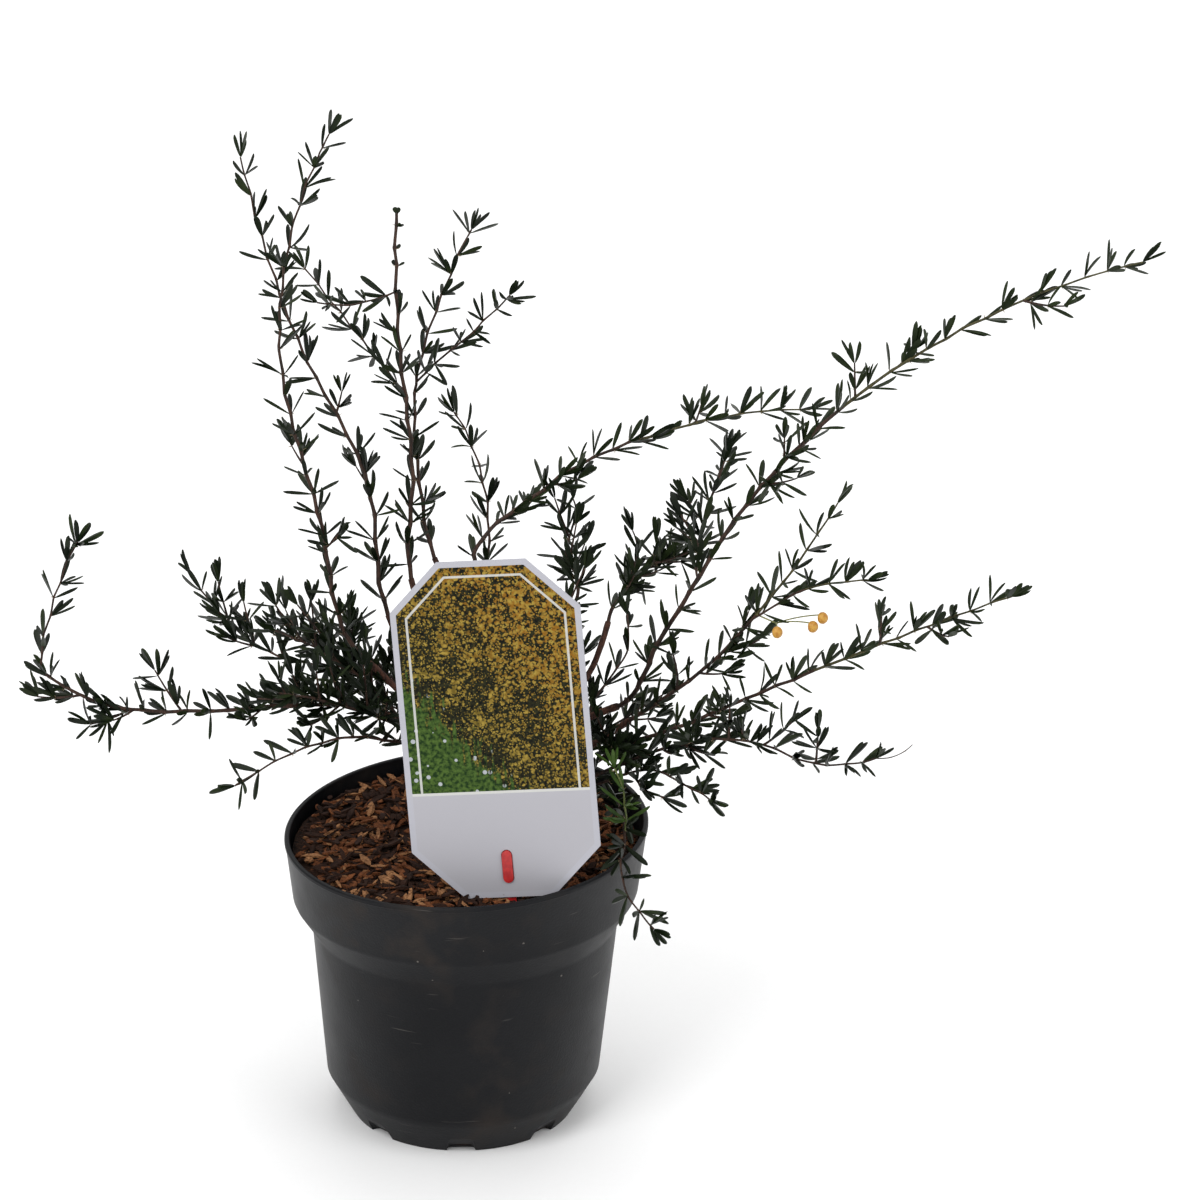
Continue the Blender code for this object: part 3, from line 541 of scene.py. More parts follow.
@dataclass(frozen=True)
class ChipFinish(Finish):
    """Shredded bark: fibres in two colours."""

    roughness: float = 0.9
    relief: float = 0.0004
    fibre_scale: tuple = (700.0, 1500.0, 900.0)
    patch_scale: float = 160.0

    def material(self) -> bpy.types.Material:
        """Mixes the colours by fibres, which also raise the relief, and by patches.

        Returns:
            The material.
        """
        shader = Shader(self.name)
        fibres = shader.noise(1.0, 4.0, shader.stretched(self.fibre_scale))
        patches = shader.noise(self.patch_scale, 2.0)
        share = (fibres * 0.7 + patches * 0.3).ramp(0.36, 0.62)
        colour = shader.mix(share, self.shade, self.light)
        return shader.finish(colour, self.roughness, fibres, self.relief, Specular_IOR_Level=0.15)


@dataclass(frozen=True)
class PotFinish:
    """Charcoal plastic with brownish dust, pale specks and a few scuffs."""

    name: str = "pot_plastic"
    body: tuple = rgb(0.0034, 0.0037, 0.0048)
    worn: tuple = rgb(0.0072, 0.0075, 0.0088)
    dust: tuple = rgb(0.048, 0.035, 0.026)
    speck: tuple = rgb(0.13, 0.12, 0.11)
    cloud_scale: float = 14.0
    film_scale: float = 38.0
    grain_scale: float = 900.0
    speck_scale: float = 95.0
    speck_size: float = 0.055
    scuff_scale: tuple = (30.0, 30.0, 420.0)
    scuff_turn: tuple = (0.5, 0.3, 0.2)
    relief: float = 0.00025

    def material(self) -> bpy.types.Material:
        """Lays worn patches, dust, specks and scuffs over the body colour, one by one.

        Returns:
            The material.
        """
        shader = Shader(self.name)
        cloud = shader.noise(self.cloud_scale, 4.0)
        film = shader.noise(self.film_scale, 5.0)
        grain = shader.noise(self.grain_scale, 2.0)
        colour = shader.mix(cloud.ramp(0.35, 0.7), self.body, self.worn)
        dust = film.ramp(0.50, 0.78) * cloud.ramp(0.42, 0.66) * 0.55
        colour = shader.mix(dust, colour, self.dust)
        specks = shader.cells(self.speck_scale).below(self.speck_size) * film.above(0.52)
        colour = shader.mix(specks * 0.7, colour, self.speck)
        scuffs = shader.noise(1.0, 2.0, shader.stretched(self.scuff_scale, self.scuff_turn))
        colour = shader.mix(scuffs.ramp(0.70, 0.78) * 0.35, colour, self.speck)
        roughness = film * 0.18 + dust * 0.3 + 0.36
        bump = grain * 0.4 + film * 0.6
        return shader.finish(colour, roughness, bump, self.relief, Specular_IOR_Level=0.13)


@dataclass(frozen=True)
class SoilFinish(Finish):
    """Dark compost between the chips."""

    name: str = "compost"
    shade: tuple = rgb(0.007, 0.004, 0.003)
    light: tuple = rgb(0.045, 0.021, 0.012)
    roughness: float = 0.95
    relief: float = 0.0015
    crumb_scale: float = 420.0

    def material(self) -> bpy.types.Material:
        """Mixes the colours by crumbs, which also raise the relief.

        Returns:
            The material.
        """
        shader = Shader(self.name)
        crumbs = shader.noise(self.crumb_scale, 5.0)
        colour = shader.mix(crumbs.ramp(0.40, 0.72), self.shade, self.light)
        return shader.finish(colour, self.roughness, crumbs, self.relief, Specular_IOR_Level=0.15)


@dataclass(frozen=True)
class PlainFinish(Finish):
    """Spines, buds, stalks and the peg: a plain surface with a little drift in colour."""

    roughness: float = 0.5
    relief: float = 0.00005
    drift_scale: float = 420.0

    def material(self) -> bpy.types.Material:
        """Mixes the colours by noise.

        Returns:
            The material.
        """
        shader = Shader(self.name)
        drift = shader.noise(self.drift_scale, 3.0)
        colour = shader.mix(drift.ramp(0.35, 0.65), self.shade, self.light)
        return shader.finish(colour, drift * 0.15 + (self.roughness - 0.08), drift, self.relief)


@dataclass(frozen=True)
class CardFinish:
    """Printed card: pale border, thin frame line, and a picture over a plain foot.

    The picture has round yellow flowers that thicken to one upper side of dark ground, and a
    wedge of green with pale rounds below them. The finish reads a UV map in which U runs across
    the card from its middle and V up it, both in card heights.
    """

    name: str = "card_print"
    paper: tuple = rgb(0.40, 0.40, 0.44)
    foot: tuple = rgb(0.38, 0.375, 0.405)
    line: tuple = rgb(0.52, 0.52, 0.50)
    dark_ground: tuple = rgb(0.0020, 0.0026, 0.0014)
    light_ground: tuple = rgb(0.018, 0.018, 0.006)
    ochre: tuple = rgb(0.095, 0.078, 0.012)
    orange: tuple = rgb(0.210, 0.095, 0.008)
    yellow: tuple = rgb(0.31, 0.215, 0.038)
    deep_green: tuple = rgb(0.007, 0.025, 0.004)
    fresh_green: tuple = rgb(0.060, 0.110, 0.020)
    pale_round: tuple = rgb(0.36, 0.38, 0.40)
    foot_top: float = 0.315
    border: float = 0.017
    inset: float = 0.045
    line_half: float = 0.0034
    line_share: float = 0.85
    rule_half: float = 0.004
    diagonal: float = 0.7071
    relief: float = 0.00003
    flower_scales: tuple = (66.0, 105.0, 150.0)
    blade_scale: tuple = (90.0, 16.0, 1.0)
    brush_scale: tuple = (14.0, 420.0, 1.0)
    round_scale: float = 30.0
    round_size: float = 0.20

    def material(self, half_width: float, cut: float) -> bpy.types.Material:
        """Lays foot, picture, frame line and border on each other by distance from the edge.

        The distance inside the edge is -max(|u| - w, |v - 0.5| - 0.5, d), where d is the
        distance past the cut corner, (|u| + |v - 0.5| - (w + 0.5 - cut)) / sqrt(2).

        Args:
            half_width: Half the card's width over its height.
            cut: The cut corner's leg over the card's height.

        Returns:
            The material.
        """
        shader = Shader(self.name)
        place = shader.node("ShaderNodeUVMap", {"uv_map": "card"}, {})
        sideways, upwards = shader.split(place)
        side = abs(sideways)
        end = abs(upwards - 0.5)
        corner = (side + end - (half_width + 0.5 - cut)) * self.diagonal
        inside = (side - half_width).larger(end - 0.5).larger(corner) * -1.0
        above_foot = upwards.above(self.foot_top)
        colour = shader.mix(above_foot, self.foot, self.picture(shader, place, upwards, sideways))
        ring = abs(inside - self.inset).below(self.line_half) * above_foot
        colour = shader.mix(ring * self.line_share, colour, self.line)
        edge = inside.below(self.border)
        colour = shader.mix(edge, colour, self.paper)
        rule = abs(upwards - self.foot_top).below(self.rule_half) * (1.0 - edge)
        colour = shader.mix(rule, colour, self.line)
        brushed = shader.noise(1.0, 3.0, shader.stretched(self.brush_scale, place=place))
        return shader.finish(
            colour, brushed * 0.14 + 0.26, brushed, self.relief, Specular_IOR_Level=0.1)

    def picture(self, shader: Shader, place: Wire, upwards: Wire, sideways: Wire) -> Wire:
        """Draws yellow flowers over dark ground, and a wedge of green with pale rounds.

        Flowers are the middles of cells of three sizes, larger where the slant 0.8 v + 0.9 u
        and a drift are high. The green lies where the slant is low.

        Args:
            shader: The card's shader.
            place: The card's UV map.
            upwards: V.
            sideways: U.

        Returns:
            The picture's colour.
        """
        leaves = shader.noise(90.0, 6.0, place).ramp(0.38, 0.62)
        ground = shader.mix(leaves, self.dark_ground, self.light_ground)
        slant = upwards * 0.8 + sideways * 0.9
        warm = shader.mix(slant.ramp(0.30, 0.75), self.ochre, self.orange)
        flower = shader.mix(shader.noise(70.0, 2.0, place).ramp(0.4, 0.65), warm, self.yellow)
        spread = slant * 0.24 + shader.noise(13.0, 4.0, place) * 0.75 - 0.17
        for scale in self.flower_scales:
            petals = (spread - shader.cells(scale, place)).ramp(-0.08, 0.10)
            ground = shader.mix(petals, ground, flower)
        green = shader.mix(leaves, self.deep_green, self.fresh_green)
        blades = shader.noise(1.0, 3.0, shader.stretched(self.blade_scale, place=place))
        wedge = 1.0 - (slant + blades * 0.30).ramp(0.42, 0.46)
        ground = shader.mix(wedge, ground, green)
        rounds = shader.cells(self.round_scale, place).below(self.round_size)
        return shader.mix(rounds * wedge, ground, self.pale_round)


# Limbs, as the solids have them

@dataclass(frozen=True)
class Limb:
    """A limb from its parent through a few places to its tip, in millimetres.

    It leaves the parent at a share of the parent's length, on a bearing and rise in degrees,
    or straight on where none is given. Its radius goes from thick to thin. Density scales its
    leaves, and spurs are the pairs of side twigs tried. Bare is the share of it, from the tip,
    that has a few small leaves only, and a wholly bare one has none.
    """

    parent: str
    at: float
    leave: Optional[tuple[float, float]]
    through: tuple
    thick: float
    thin: float
    density: float = 1.0
    spurs: int = 0
    tint: Tint = Tint.DARK
    bare: float = 0.0


STOOL_FOOT = (6.0, 4.0, 149.3)
STOOL_TIP = (10.0, 6.0, 176.3)

BOUGHS = {
    "bough_left": Limb("stool", 0.42, (182, 28), ((-16, 2, 202), (-38, -1, 225)), 2.8, 2.0),
    "bough_tall_front": Limb("stool", 0.80, (178, 64), ((-20, 0, 224), (-48, -5, 258)), 2.6, 1.9),
    "bough_centre_left": Limb("stool", 0.92, (128, 66), ((-10, 18, 232), (-25, 26, 290)), 2.7, 1.8),
    "bough_tall_back": Limb("bough_centre_left", 0.36, (168, 50), ((-37, 20, 272),), 2.1, 1.8),
    "bough_centre": Limb("bough_centre_left", 0.52, (48, 62), ((-13, 32, 299),), 2.0, 1.7),
    "bough_centre_right": Limb("stool", 0.97, (62, 64), ((18, 34, 232), (8, 48, 284)), 2.6, 1.8),
    "bough_upright": Limb("bough_centre_right", 0.42, (12, 44), ((60, 42, 270),), 1.9, 1.6),
    "bough_right_high": Limb("stool", 0.74, (28, 40), ((46, 12, 204), (82, 5, 227)), 2.9, 2.2),
    "bough_cluster": Limb("bough_right_high", 0.60, (88, 48), ((70, 40, 236), (77, 57, 251)), 2.3, 1.8),
    "bough_right_mid": Limb("stool", 0.54, (350, 28), ((48, -6, 196), (88, -10, 226)), 2.6, 2.0),
    "bough_right_low": Limb("stool", 0.32, (326, 22), ((68, -18, 203),), 2.6, 2.0),
    "bough_low": Limb("stool", 0.20, (10, 8), ((66, 8, 172),), 2.2, 1.7),
    "bough_back": Limb("stool", 0.50, (88, 34), ((14, 62, 202),), 2.6, 1.9),
}

SHOOTS = {
    "long_left": Limb(
        "bough_left", 1.0, None,
        ((-80, -15, 237), (-130, -30, 241), (-185, -46, 254), (-214, -55, 279)), 1.9, 0.9, 1.25, 5),
    "long_left_end": Limb(
        "long_left", 0.985, (285, 84), ((-205, -57, 312), (-188, -62, 357)), 0.9, 0.5),
    "low_left": Limb("bough_left", 0.72, (238, 14), ((-64, -45, 232), (-117, -100, 228)), 1.3, 0.5, 0.8),
    "mid_left": Limb(
        "bough_left", 0.66, (128, 14),
        ((-65, 35, 232), (-103, 65, 231), (-147, 110, 262)), 1.4, 0.5, 1.1, 4),
    "inner_left_back": Limb(
        "bough_left", 0.54, (112, 40), ((-46, 34, 240), (-94, 58, 240)), 1.2, 0.6, 1.4, 4),
    "inner_left_top": Limb(
        "bough_left", 0.84, (165, 66), ((-70, 12, 254), (-104, 20, 266)), 1.2, 0.6, 1.3, 5),
    "inner_left_twig": Limb("inner_left_top", 0.80, (190, 74), ((-98, 20, 280),), 0.7, 0.5),
    "inner_left_spray": Limb("inner_left_top", 0.52, (175, 60), ((-87, 15, 286),), 0.7, 0.5),
    "inner_left_front": Limb(
        "bough_left", 0.86, (240, 34), ((-66, -24, 243), (-98, -42, 258)), 1.2, 0.6, 1.4, 5),
    "tall_front": Limb(
        "bough_tall_front", 1.0, None, ((-71, 0, 337), (-90, 8, 437), (-60, 20, 546)), 1.9, 0.5, 1.0, 1),
    "tall_back": Limb(
        "bough_tall_back", 1.0, None, ((-47, 38, 337), (-85, 62, 414), (-113, 90, 507)), 1.8, 0.5, 1.0, 1),
    "centre_left": Limb(
        "bough_centre_left", 1.0, None, ((-24, 36, 345), (-31, 52, 420), (-32, 65, 478)),
        1.8, 0.95, 0.9, 0, Tint.DARK, 0.24),
    "centre_left_fork": Limb(
        "centre_left", 0.52, (125, 16), ((-58, 88, 408), (-85, 125, 429)), 0.9, 0.5),
    "centre_left_twig": Limb("centre_left", 0.79, (217, -10), ((-77, 25, 446),), 0.8, 0.5),
    "centre": Limb(
        "bough_centre", 1.0, None,
        ((-20, 43, 332), (-22, 60, 386), (-7, 87, 429), (9, 110, 458)), 1.6, 0.5),
    "centre_fork": Limb("centre", 0.50, (330, 50), ((8, 38, 424), (31, 20, 456)), 0.9, 0.5),
    "arch_back": Limb(
        "bough_centre_right", 1.0, None,
        ((45, 81, 318), (110, 121, 333), (191, 160, 328)), 1.7, 0.5, 1.0, 2, Tint.MIDDLE),
    "short_back": Limb("bough_centre_right", 0.80, (95, 40), ((12, 93, 313), (-7, 140, 340)), 1.2, 0.5),
    "upright": Limb(
        "bough_upright", 1.0, None, ((55, 72, 288), (60, 90, 298), (55, 105, 306)), 1.4, 0.5, 1.1, 2),
    "upright_side": Limb("bough_upright", 0.70, (350, 66), ((68, 44, 294),), 1.0, 0.5, 1.1),
    "long_right": Limb(
        "bough_right_high", 1.0, None,
        ((103, 4, 264), (162, 16, 355), (268, 30, 434), (357, 40, 463)), 2.0, 0.5, 1.0, 3, Tint.MIDDLE),
    "long_right_side": Limb(
        "long_right", 0.22, (92, 24), ((129, 72, 308), (143, 120, 329)), 1.0, 0.5, 1.0, 2),
    "cluster": Limb(
        "bough_cluster", 1.0, None, ((104, 80, 277), (120, 90, 279)), 1.6, 0.5, 1.3, 4, Tint.MIDDLE),
    "cluster_top": Limb("cluster", 0.25, (67, 48), ((93, 88, 279), (87, 100, 290)), 0.9, 0.5, 1.2),
    "reed": Limb("bough_right_high", 0.82, (92, 56), ((87, 30, 249), (86, 45, 269)), 1.0, 0.5, 0.8),
    "card_edge": Limb(
        "bough_right_high", 0.34, (72, 60), ((54, 30, 228), (66, 34, 250)), 1.1, 0.5, 1.2, 2),
    "rising_right": Limb(
        "bough_right_mid", 1.0, None,
        ((126, -18, 259), (156, -26, 298), (196, -40, 368)), 1.8, 0.5, 1.0, 2, Tint.MIDDLE),
    "rising_right_side": Limb(
        "rising_right", 0.50, (329, 38),
        ((182, -43, 317), (215, -60, 328)), 0.9, 0.5, 1.1, 0, Tint.MIDDLE),
    "rising_right_twig": Limb("rising_right", 0.17, (83, 60), ((110, -10, 268),), 0.9, 0.5),
    "spread_right": Limb(
        "bough_right_low", 1.0, None,
        ((123, -32, 237), (190, -65, 284), (285, -105, 343)), 1.8, 0.5, 1.0, 2, Tint.MIDDLE),
    "low_right": Limb(
        "bough_right_low", 0.80, (312, 30),
        ((113, -41, 227), (150, -77, 246), (183, -103, 246), (216, -130, 265)), 1.4, 0.5, 1.25, 4),
    "low_right_tendril": Limb(
        "low_right", 0.96, (340, 0),
        ((221, -131, 264), (229, -130, 270)), 0.5, 0.25, 1.0, 0, Tint.DARK, 1.0),
    "droop_right": Limb(
        "bough_right_low", 0.60, (300, 16),
        ((100, -40, 212), (117, -67, 216), (132, -100, 222)), 1.2, 0.5),
    "droop_right_side": Limb("droop_right", 0.40, (282, -8), ((109, -62, 206),), 0.9, 0.5),
    "inner_right_front": Limb("bough_right_mid", 0.80, (290, 20), ((92, -40, 224),), 1.1, 0.6, 1.3, 3),
    "inner_right_back": Limb("bough_right_mid", 0.42, (58, 4), ((112, 42, 220),), 1.2, 0.6, 1.3, 4),
    "rim": Limb(
        "bough_low", 1.0, None, ((85, -42, 182), (85, -81, 166), (106, -110, 151)), 1.2, 0.5, 1.5),
    "rim_sprig": Limb(
        "rim", 0.46, (100, 70), ((86, -54, 196), (78, -56, 228)), 0.8, 0.5, 1.2, 0, Tint.FRESH),
    "back_left": Limb("bough_back", 0.66, (130, 24), ((-22, 145, 206),), 1.4, 0.5, 1.1, 3),
    "back": Limb("bough_back", 1.0, None, ((18, 115, 218), (22, 172, 216)), 1.6, 0.5, 1.1, 3),
    "back_right": Limb("bough_back", 0.82, (45, 26), ((54, 150, 212),), 1.4, 0.5, 1.1, 3),
}


class Path:
    """A smooth line with a place and a heading at each distance along it."""

    def __init__(self, points: np.ndarray) -> None:
        """Measures the line.

        Args:
            points: Points along it, one a row.
        """
        self.points = points
        self.marks = run_lengths(points)
        self.length = float(self.marks[-1])

    def at(self, distance: np.ndarray) -> np.ndarray:
        """Points at distances along the line."""
        distance = np.clip(np.atleast_1d(distance), 0, self.length)
        return np.stack([np.interp(distance, self.marks, self.points[:, k]) for k in range(3)], -1)

    def heading(self, distance: np.ndarray, reach: float = 0.0015) -> np.ndarray:
        """Unit headings at distances along the line, from the points a short reach either way."""
        distance = np.atleast_1d(distance)
        return unit(self.at(distance + reach) - self.at(distance - reach))


def flowing_path(
    start: np.ndarray, leave: np.ndarray, through: tuple, pull: float = 0.35, steps: int = 20,
) -> Path:
    """Path of cubic spans whose headings agree where they meet.

    Each span is s^3 p0 + 3 s^2 t a + 3 s t^2 b + t^3 p1 with s = 1 - t, its handles a and b
    a share of the chord away from its ends.

    Args:
        start: First point, in metres.
        leave: Heading there.
        through: The other places, in millimetres.
        pull: The handles' share of the chord.
        steps: Points on each span.

    Returns:
        The path.
    """
    places = [start] + [np.array(place) * MM for place in through]
    chords = [b - a for a, b in zip(places, places[1:])]
    headings = [leave]
    for before, after in zip(chords, chords[1:]):
        first, second = np.linalg.norm(before), np.linalg.norm(after)
        headings.append(unit(before / first * second + after / second * first))
    axis = unit(chords[-1])
    headings.append(unit(axis * 2 * headings[-1].dot(axis) - headings[-1]))
    t = np.linspace(0, 1, steps + 1)[1:, None]
    s = 1 - t
    runs = [start[None]]
    for i, chord in enumerate(chords):
        reach = np.linalg.norm(chord) * pull
        a = places[i] + headings[i] * reach
        b = places[i + 1] - headings[i + 1] * reach
        runs.append(places[i] * s ** 3 + 3 * a * s * s * t + 3 * b * s * t * t + places[i + 1] * t ** 3)
    return Path(np.concatenate(runs))


def trace_paths() -> dict[str, Path]:
    """Traces the stool as a straight line, and every limb by its row.

    Returns:
        Each limb's path by its name, parents first.
    """
    foot, tip = np.array(STOOL_FOOT) * MM, np.array(STOOL_TIP) * MM
    paths = {"stool": Path(foot + (tip - foot) * np.linspace(0, 1, 9)[:, None])}
    for name, limb in {**BOUGHS, **SHOOTS}.items():
        parent = paths[limb.parent]
        start = parent.at(parent.length * limb.at)[0]
        if limb.leave is None:
            leave = unit(parent.points[-1] - parent.points[-2])
        else:
            leave = towards(*limb.leave)
        paths[name] = flowing_path(start, leave, limb.through)
    return paths


# Card, pot and mulch

@dataclass
class Card:
    """Octagonal label card that leans back in the pot."""

    width: float = 0.0980
    height: float = 0.1810
    cut: float = 0.0260
    thickness: float = 0.0008
    foot: tuple = (0.0267, -0.0680, 0.1533)
    lean: float = math.radians(7.1)
    roll: float = math.radians(5.5)
    turn: float = math.radians(-6.7)
    slot_width: float = 0.0058
    slot_length: float = 0.0181
    slot_middle: float = 0.0167
    off_print: float = 5.0

    def matrix(self) -> Matrix:
        """Stands the card at its foot, rolled, leant back and turned.

        Returns:
            The matrix from the card's own plane to the frame.
        """
        turn = Matrix.Rotation(self.turn, 4, "Z")
        back = Matrix.Rotation(-self.lean, 4, "X")
        roll = Matrix.Rotation(-self.roll, 4, "Y")
        return Matrix.Translation(self.foot) @ turn @ back @ roll

    def outline(self) -> np.ndarray:
        """Cuts the four corners off an upright rectangle.

        Returns:
            The eight corners in the card's plane.
        """
        half, cut = self.width / 2, self.cut
        right = [(half - cut, 0), (half, cut), (half, self.height - cut), (half - cut, self.height)]
        return np.array(right + [(-x, z) for x, z in right[::-1]])

    def slot(self) -> np.ndarray:
        """Outlines the slot for the peg's head: two half circles and two straight sides.

        Returns:
            Its points in the card's plane.
        """
        radius = self.slot_width / 2
        reach = self.slot_length / 2 - radius
        angle = np.linspace(0, np.pi, 8)
        top = np.stack([radius * np.cos(angle), reach + radius * np.sin(angle)], -1)
        return np.concatenate([top, -top]) + (0, self.slot_middle)

    def hides(self, points: np.ndarray, margin: float = 0.0025) -> np.ndarray:
        """Says which points lie in the card or in front of it, within its width and height.

        Args:
            points: Places in the frame.
            margin: Clear space kept behind the card and round its edge.

        Returns:
            One flag a point.
        """
        back = np.array(self.matrix().inverted())
        local = points @ back[:3, :3].T + back[:3, 3]
        inside = (np.abs(local[..., 0]) < self.width / 2 + margin) & (local[..., 2] < self.height + margin)
        return inside & (local[..., 1] < margin)

    def sheet(self) -> bpy.types.Mesh:
        """Fills a flat curve between the outline and the slot, with the card's thickness.

        Returns:
            The mesh in the XY plane, its front towards +Z.
        """
        curve = bpy.data.curves.new("card_outline", "CURVE")
        curve.dimensions = "2D"
        curve.fill_mode = "BOTH"
        curve.extrude = self.thickness / 2
        for ring in (self.outline(), self.slot()):
            spline = curve.splines.new("POLY")
            spline.points.add(len(ring) - 1)
            for point, (x, z) in zip(spline.points, ring):
                point.co = (x, z, 0, 1)
            spline.use_cyclic_u = True
        holder = linked("card_outline", curve)
        bpy.context.view_layer.update()
        mesh = baked(holder)
        mesh.name = "label_card_print"
        bpy.data.objects.remove(holder, do_unlink=True)
        bpy.data.curves.remove(curve)
        return mesh

    def map_print(self, mesh: bpy.types.Mesh) -> None:
        """Gives the sheet a UV map: a front corner's place over the card's height.

        The edges and the back share one place far off the print, where the paper is plain.

        Args:
            mesh: The sheet in the XY plane.
        """
        layer = mesh.uv_layers.new(name="card")
        corners = column(mesh.loops, "vertex_index", 1, np.int32)
        places = column(mesh.vertices, "co", 3, np.float32).reshape(-1, 3)
        normals = column(mesh.polygons, "normal", 3, np.float32).reshape(-1, 3)
        sizes = column(mesh.polygons, "loop_total", 1, np.int32)
        flat = places[corners][:, :2] / self.height
        flat[np.repeat(normals[:, 2] < 0.5, sizes)] = self.off_print
        layer.data.foreach_set("uv", flat.astype(np.float32).ravel())

    def build(self) -> bpy.types.Object:
        """Makes the card with its slot and its print.

        Returns:
            The piece.
        """
        mesh = self.sheet()
        self.map_print(mesh)
        mesh.transform(self.matrix() @ Matrix.Rotation(math.pi / 2, 4, "X"))
        obj = linked("label_card_print", mesh)
        finish = CardFinish().material(self.width / 2 / self.height, self.cut / self.height)
        return settled(obj, finish, "card", "label_card")


@dataclass
class Pot:
    """Round nursery pot with a sloping step under its collar and slots round its foot."""

    height: float = 0.160
    wall: float = 0.0016
    floor: float = 0.0020
    foot: float = 0.0590
    pull: tuple = (0.0612, 0.0036)
    corner: tuple = (0.0720, 0.0230)
    step_bottom: tuple = (0.0803, 0.1090)
    step_top: tuple = (0.0903, 0.1240)
    rim: float = 0.0950
    lip: float = 0.0030
    lip_width: float = 0.0026
    soft: float = 0.0007
    shift: float = 0.0030
    tilt: float = math.radians(2.6)
    segments: int = 160
    sharp: float = math.radians(35)
    drains: int = 8
    drain_radius: float = 0.0025
    drain_reach: float = 0.0050
    drain_depth: float = 0.0120
    drain_place: tuple = (0.0625, 0.0042)
    drain_slope: float = math.radians(45)

    def lean(self, points: np.ndarray) -> np.ndarray:
        """Leans and tilts the upright pot: x + shift u and z + x tan(tilt u^3), u = z / height.

        Args:
            points: Points of the upright pot.

        Returns:
            The same points of the pot as it stands.
        """
        share = points[:, 2] / self.height
        moved = points.copy()
        moved[:, 0] += self.shift * share
        moved[:, 2] += points[:, 0] * np.tan(self.tilt * share ** 3)
        return moved

    def curve(self, inset: float, lift: float) -> np.ndarray:
        """Rounds the foot: s^2 foot + 2 s t pull + t^2 corner, with s = 1 - t.

        Args:
            inset: How far inside the pot's outer face.
            lift: How far above its underside.

        Returns:
            Radii and heights from the foot up to the wall.
        """
        t = np.linspace(0, 1, 9)[:, None]
        foot = np.array([self.foot - inset, lift])
        pull = np.array([self.pull[0] - inset, self.pull[1] + lift])
        top = np.array([self.corner[0] - inset, self.corner[1]])
        return foot * (1 - t) ** 2 + 2 * pull * t * (1 - t) + top * t * t

    def profile(self) -> np.ndarray:
        """Draws the pot's section, with each outer edge eased by two close points.

        Returns:
            Radii and heights from the axis under the foot, over the rim, to the axis on the floor.
        """
        rim, top, soft = self.rim, self.height, self.soft
        lip, inner = top - self.lip, rim - self.lip_width
        low, high = self.step_bottom, self.step_top
        outside = [
            (low[0] - 0.0002, low[1] - 0.002), (low[0] + soft, low[1] + soft),
            (high[0] - soft, high[1] - soft), (high[0] + 0.0002, high[1] + 0.0015),
            (rim - 0.0006, lip), (rim, lip + 0.0008), (rim, top - soft), (rim - soft, top),
        ]
        inside = [
            (inner + 0.0004, top), (inner, top - 0.0005), (inner, lip),
            (high[0] - self.wall, high[1]), (low[0] - self.wall, low[1]),
        ]
        return np.concatenate([
            [(0.0, 0.0)], self.curve(0.0, 0.0), outside, inside,
            self.curve(self.wall, self.floor)[::-1], [(0.0, self.floor)],
        ])

    def slots(self) -> list[bpy.types.Object]:
        """Makes long round-ended cutters for the drain slots, where the solids have them.

        Returns:
            One cutter a slot.
        """
        angle = np.linspace(0, 2 * np.pi, 24, endpoint=False)
        x = self.drain_radius * np.cos(angle) + np.sign(np.cos(angle)) * self.drain_reach
        y = self.drain_radius * np.sin(angle)
        depths = (-self.drain_depth, self.drain_depth)
        rings = np.stack([np.stack([x, y, np.full(len(x), z)], -1) for z in depths])
        shape = closed_rings(rings, rings[0].mean(0), rings[1].mean(0))
        place = Matrix.Translation((self.drain_place[0], 0, self.drain_place[1]))
        slope = Matrix.Rotation(self.drain_slope, 4, "Y") @ Matrix.Rotation(math.pi / 2, 4, "Z")
        cutters = []
        for i in range(self.drains):
            cutter = mesh_object("drain", shape, None)
            cutter.data.transform(Matrix.Rotation(2 * math.pi * i / self.drains, 4, "Z") @ place @ slope)
            cutters.append(cutter)
        return cutters

    def build(self) -> bpy.types.Object:
        """Makes the pot with a fine turned wall and its drain slots.

        Returns:
            The piece.
        """
        shape = revolved(self.profile(), self.segments)
        shape.points = self.lean(shape.points)
        obj = mesh_object("pot_shell", shape, None)
        for cutter in self.slots():
            modifier = obj.modifiers.new("drain", "BOOLEAN")
            modifier.operation = "DIFFERENCE"
            modifier.object = cutter
            mesh = baked(obj)
            obj.modifiers.clear()
            obj.data = mesh
            bpy.data.objects.remove(cutter, do_unlink=True)
        obj.data.shade_smooth()
        obj.data.set_sharp_from_angle(angle=self.sharp)
        return settled(obj, PotFinish().material(), "pot", "pot")


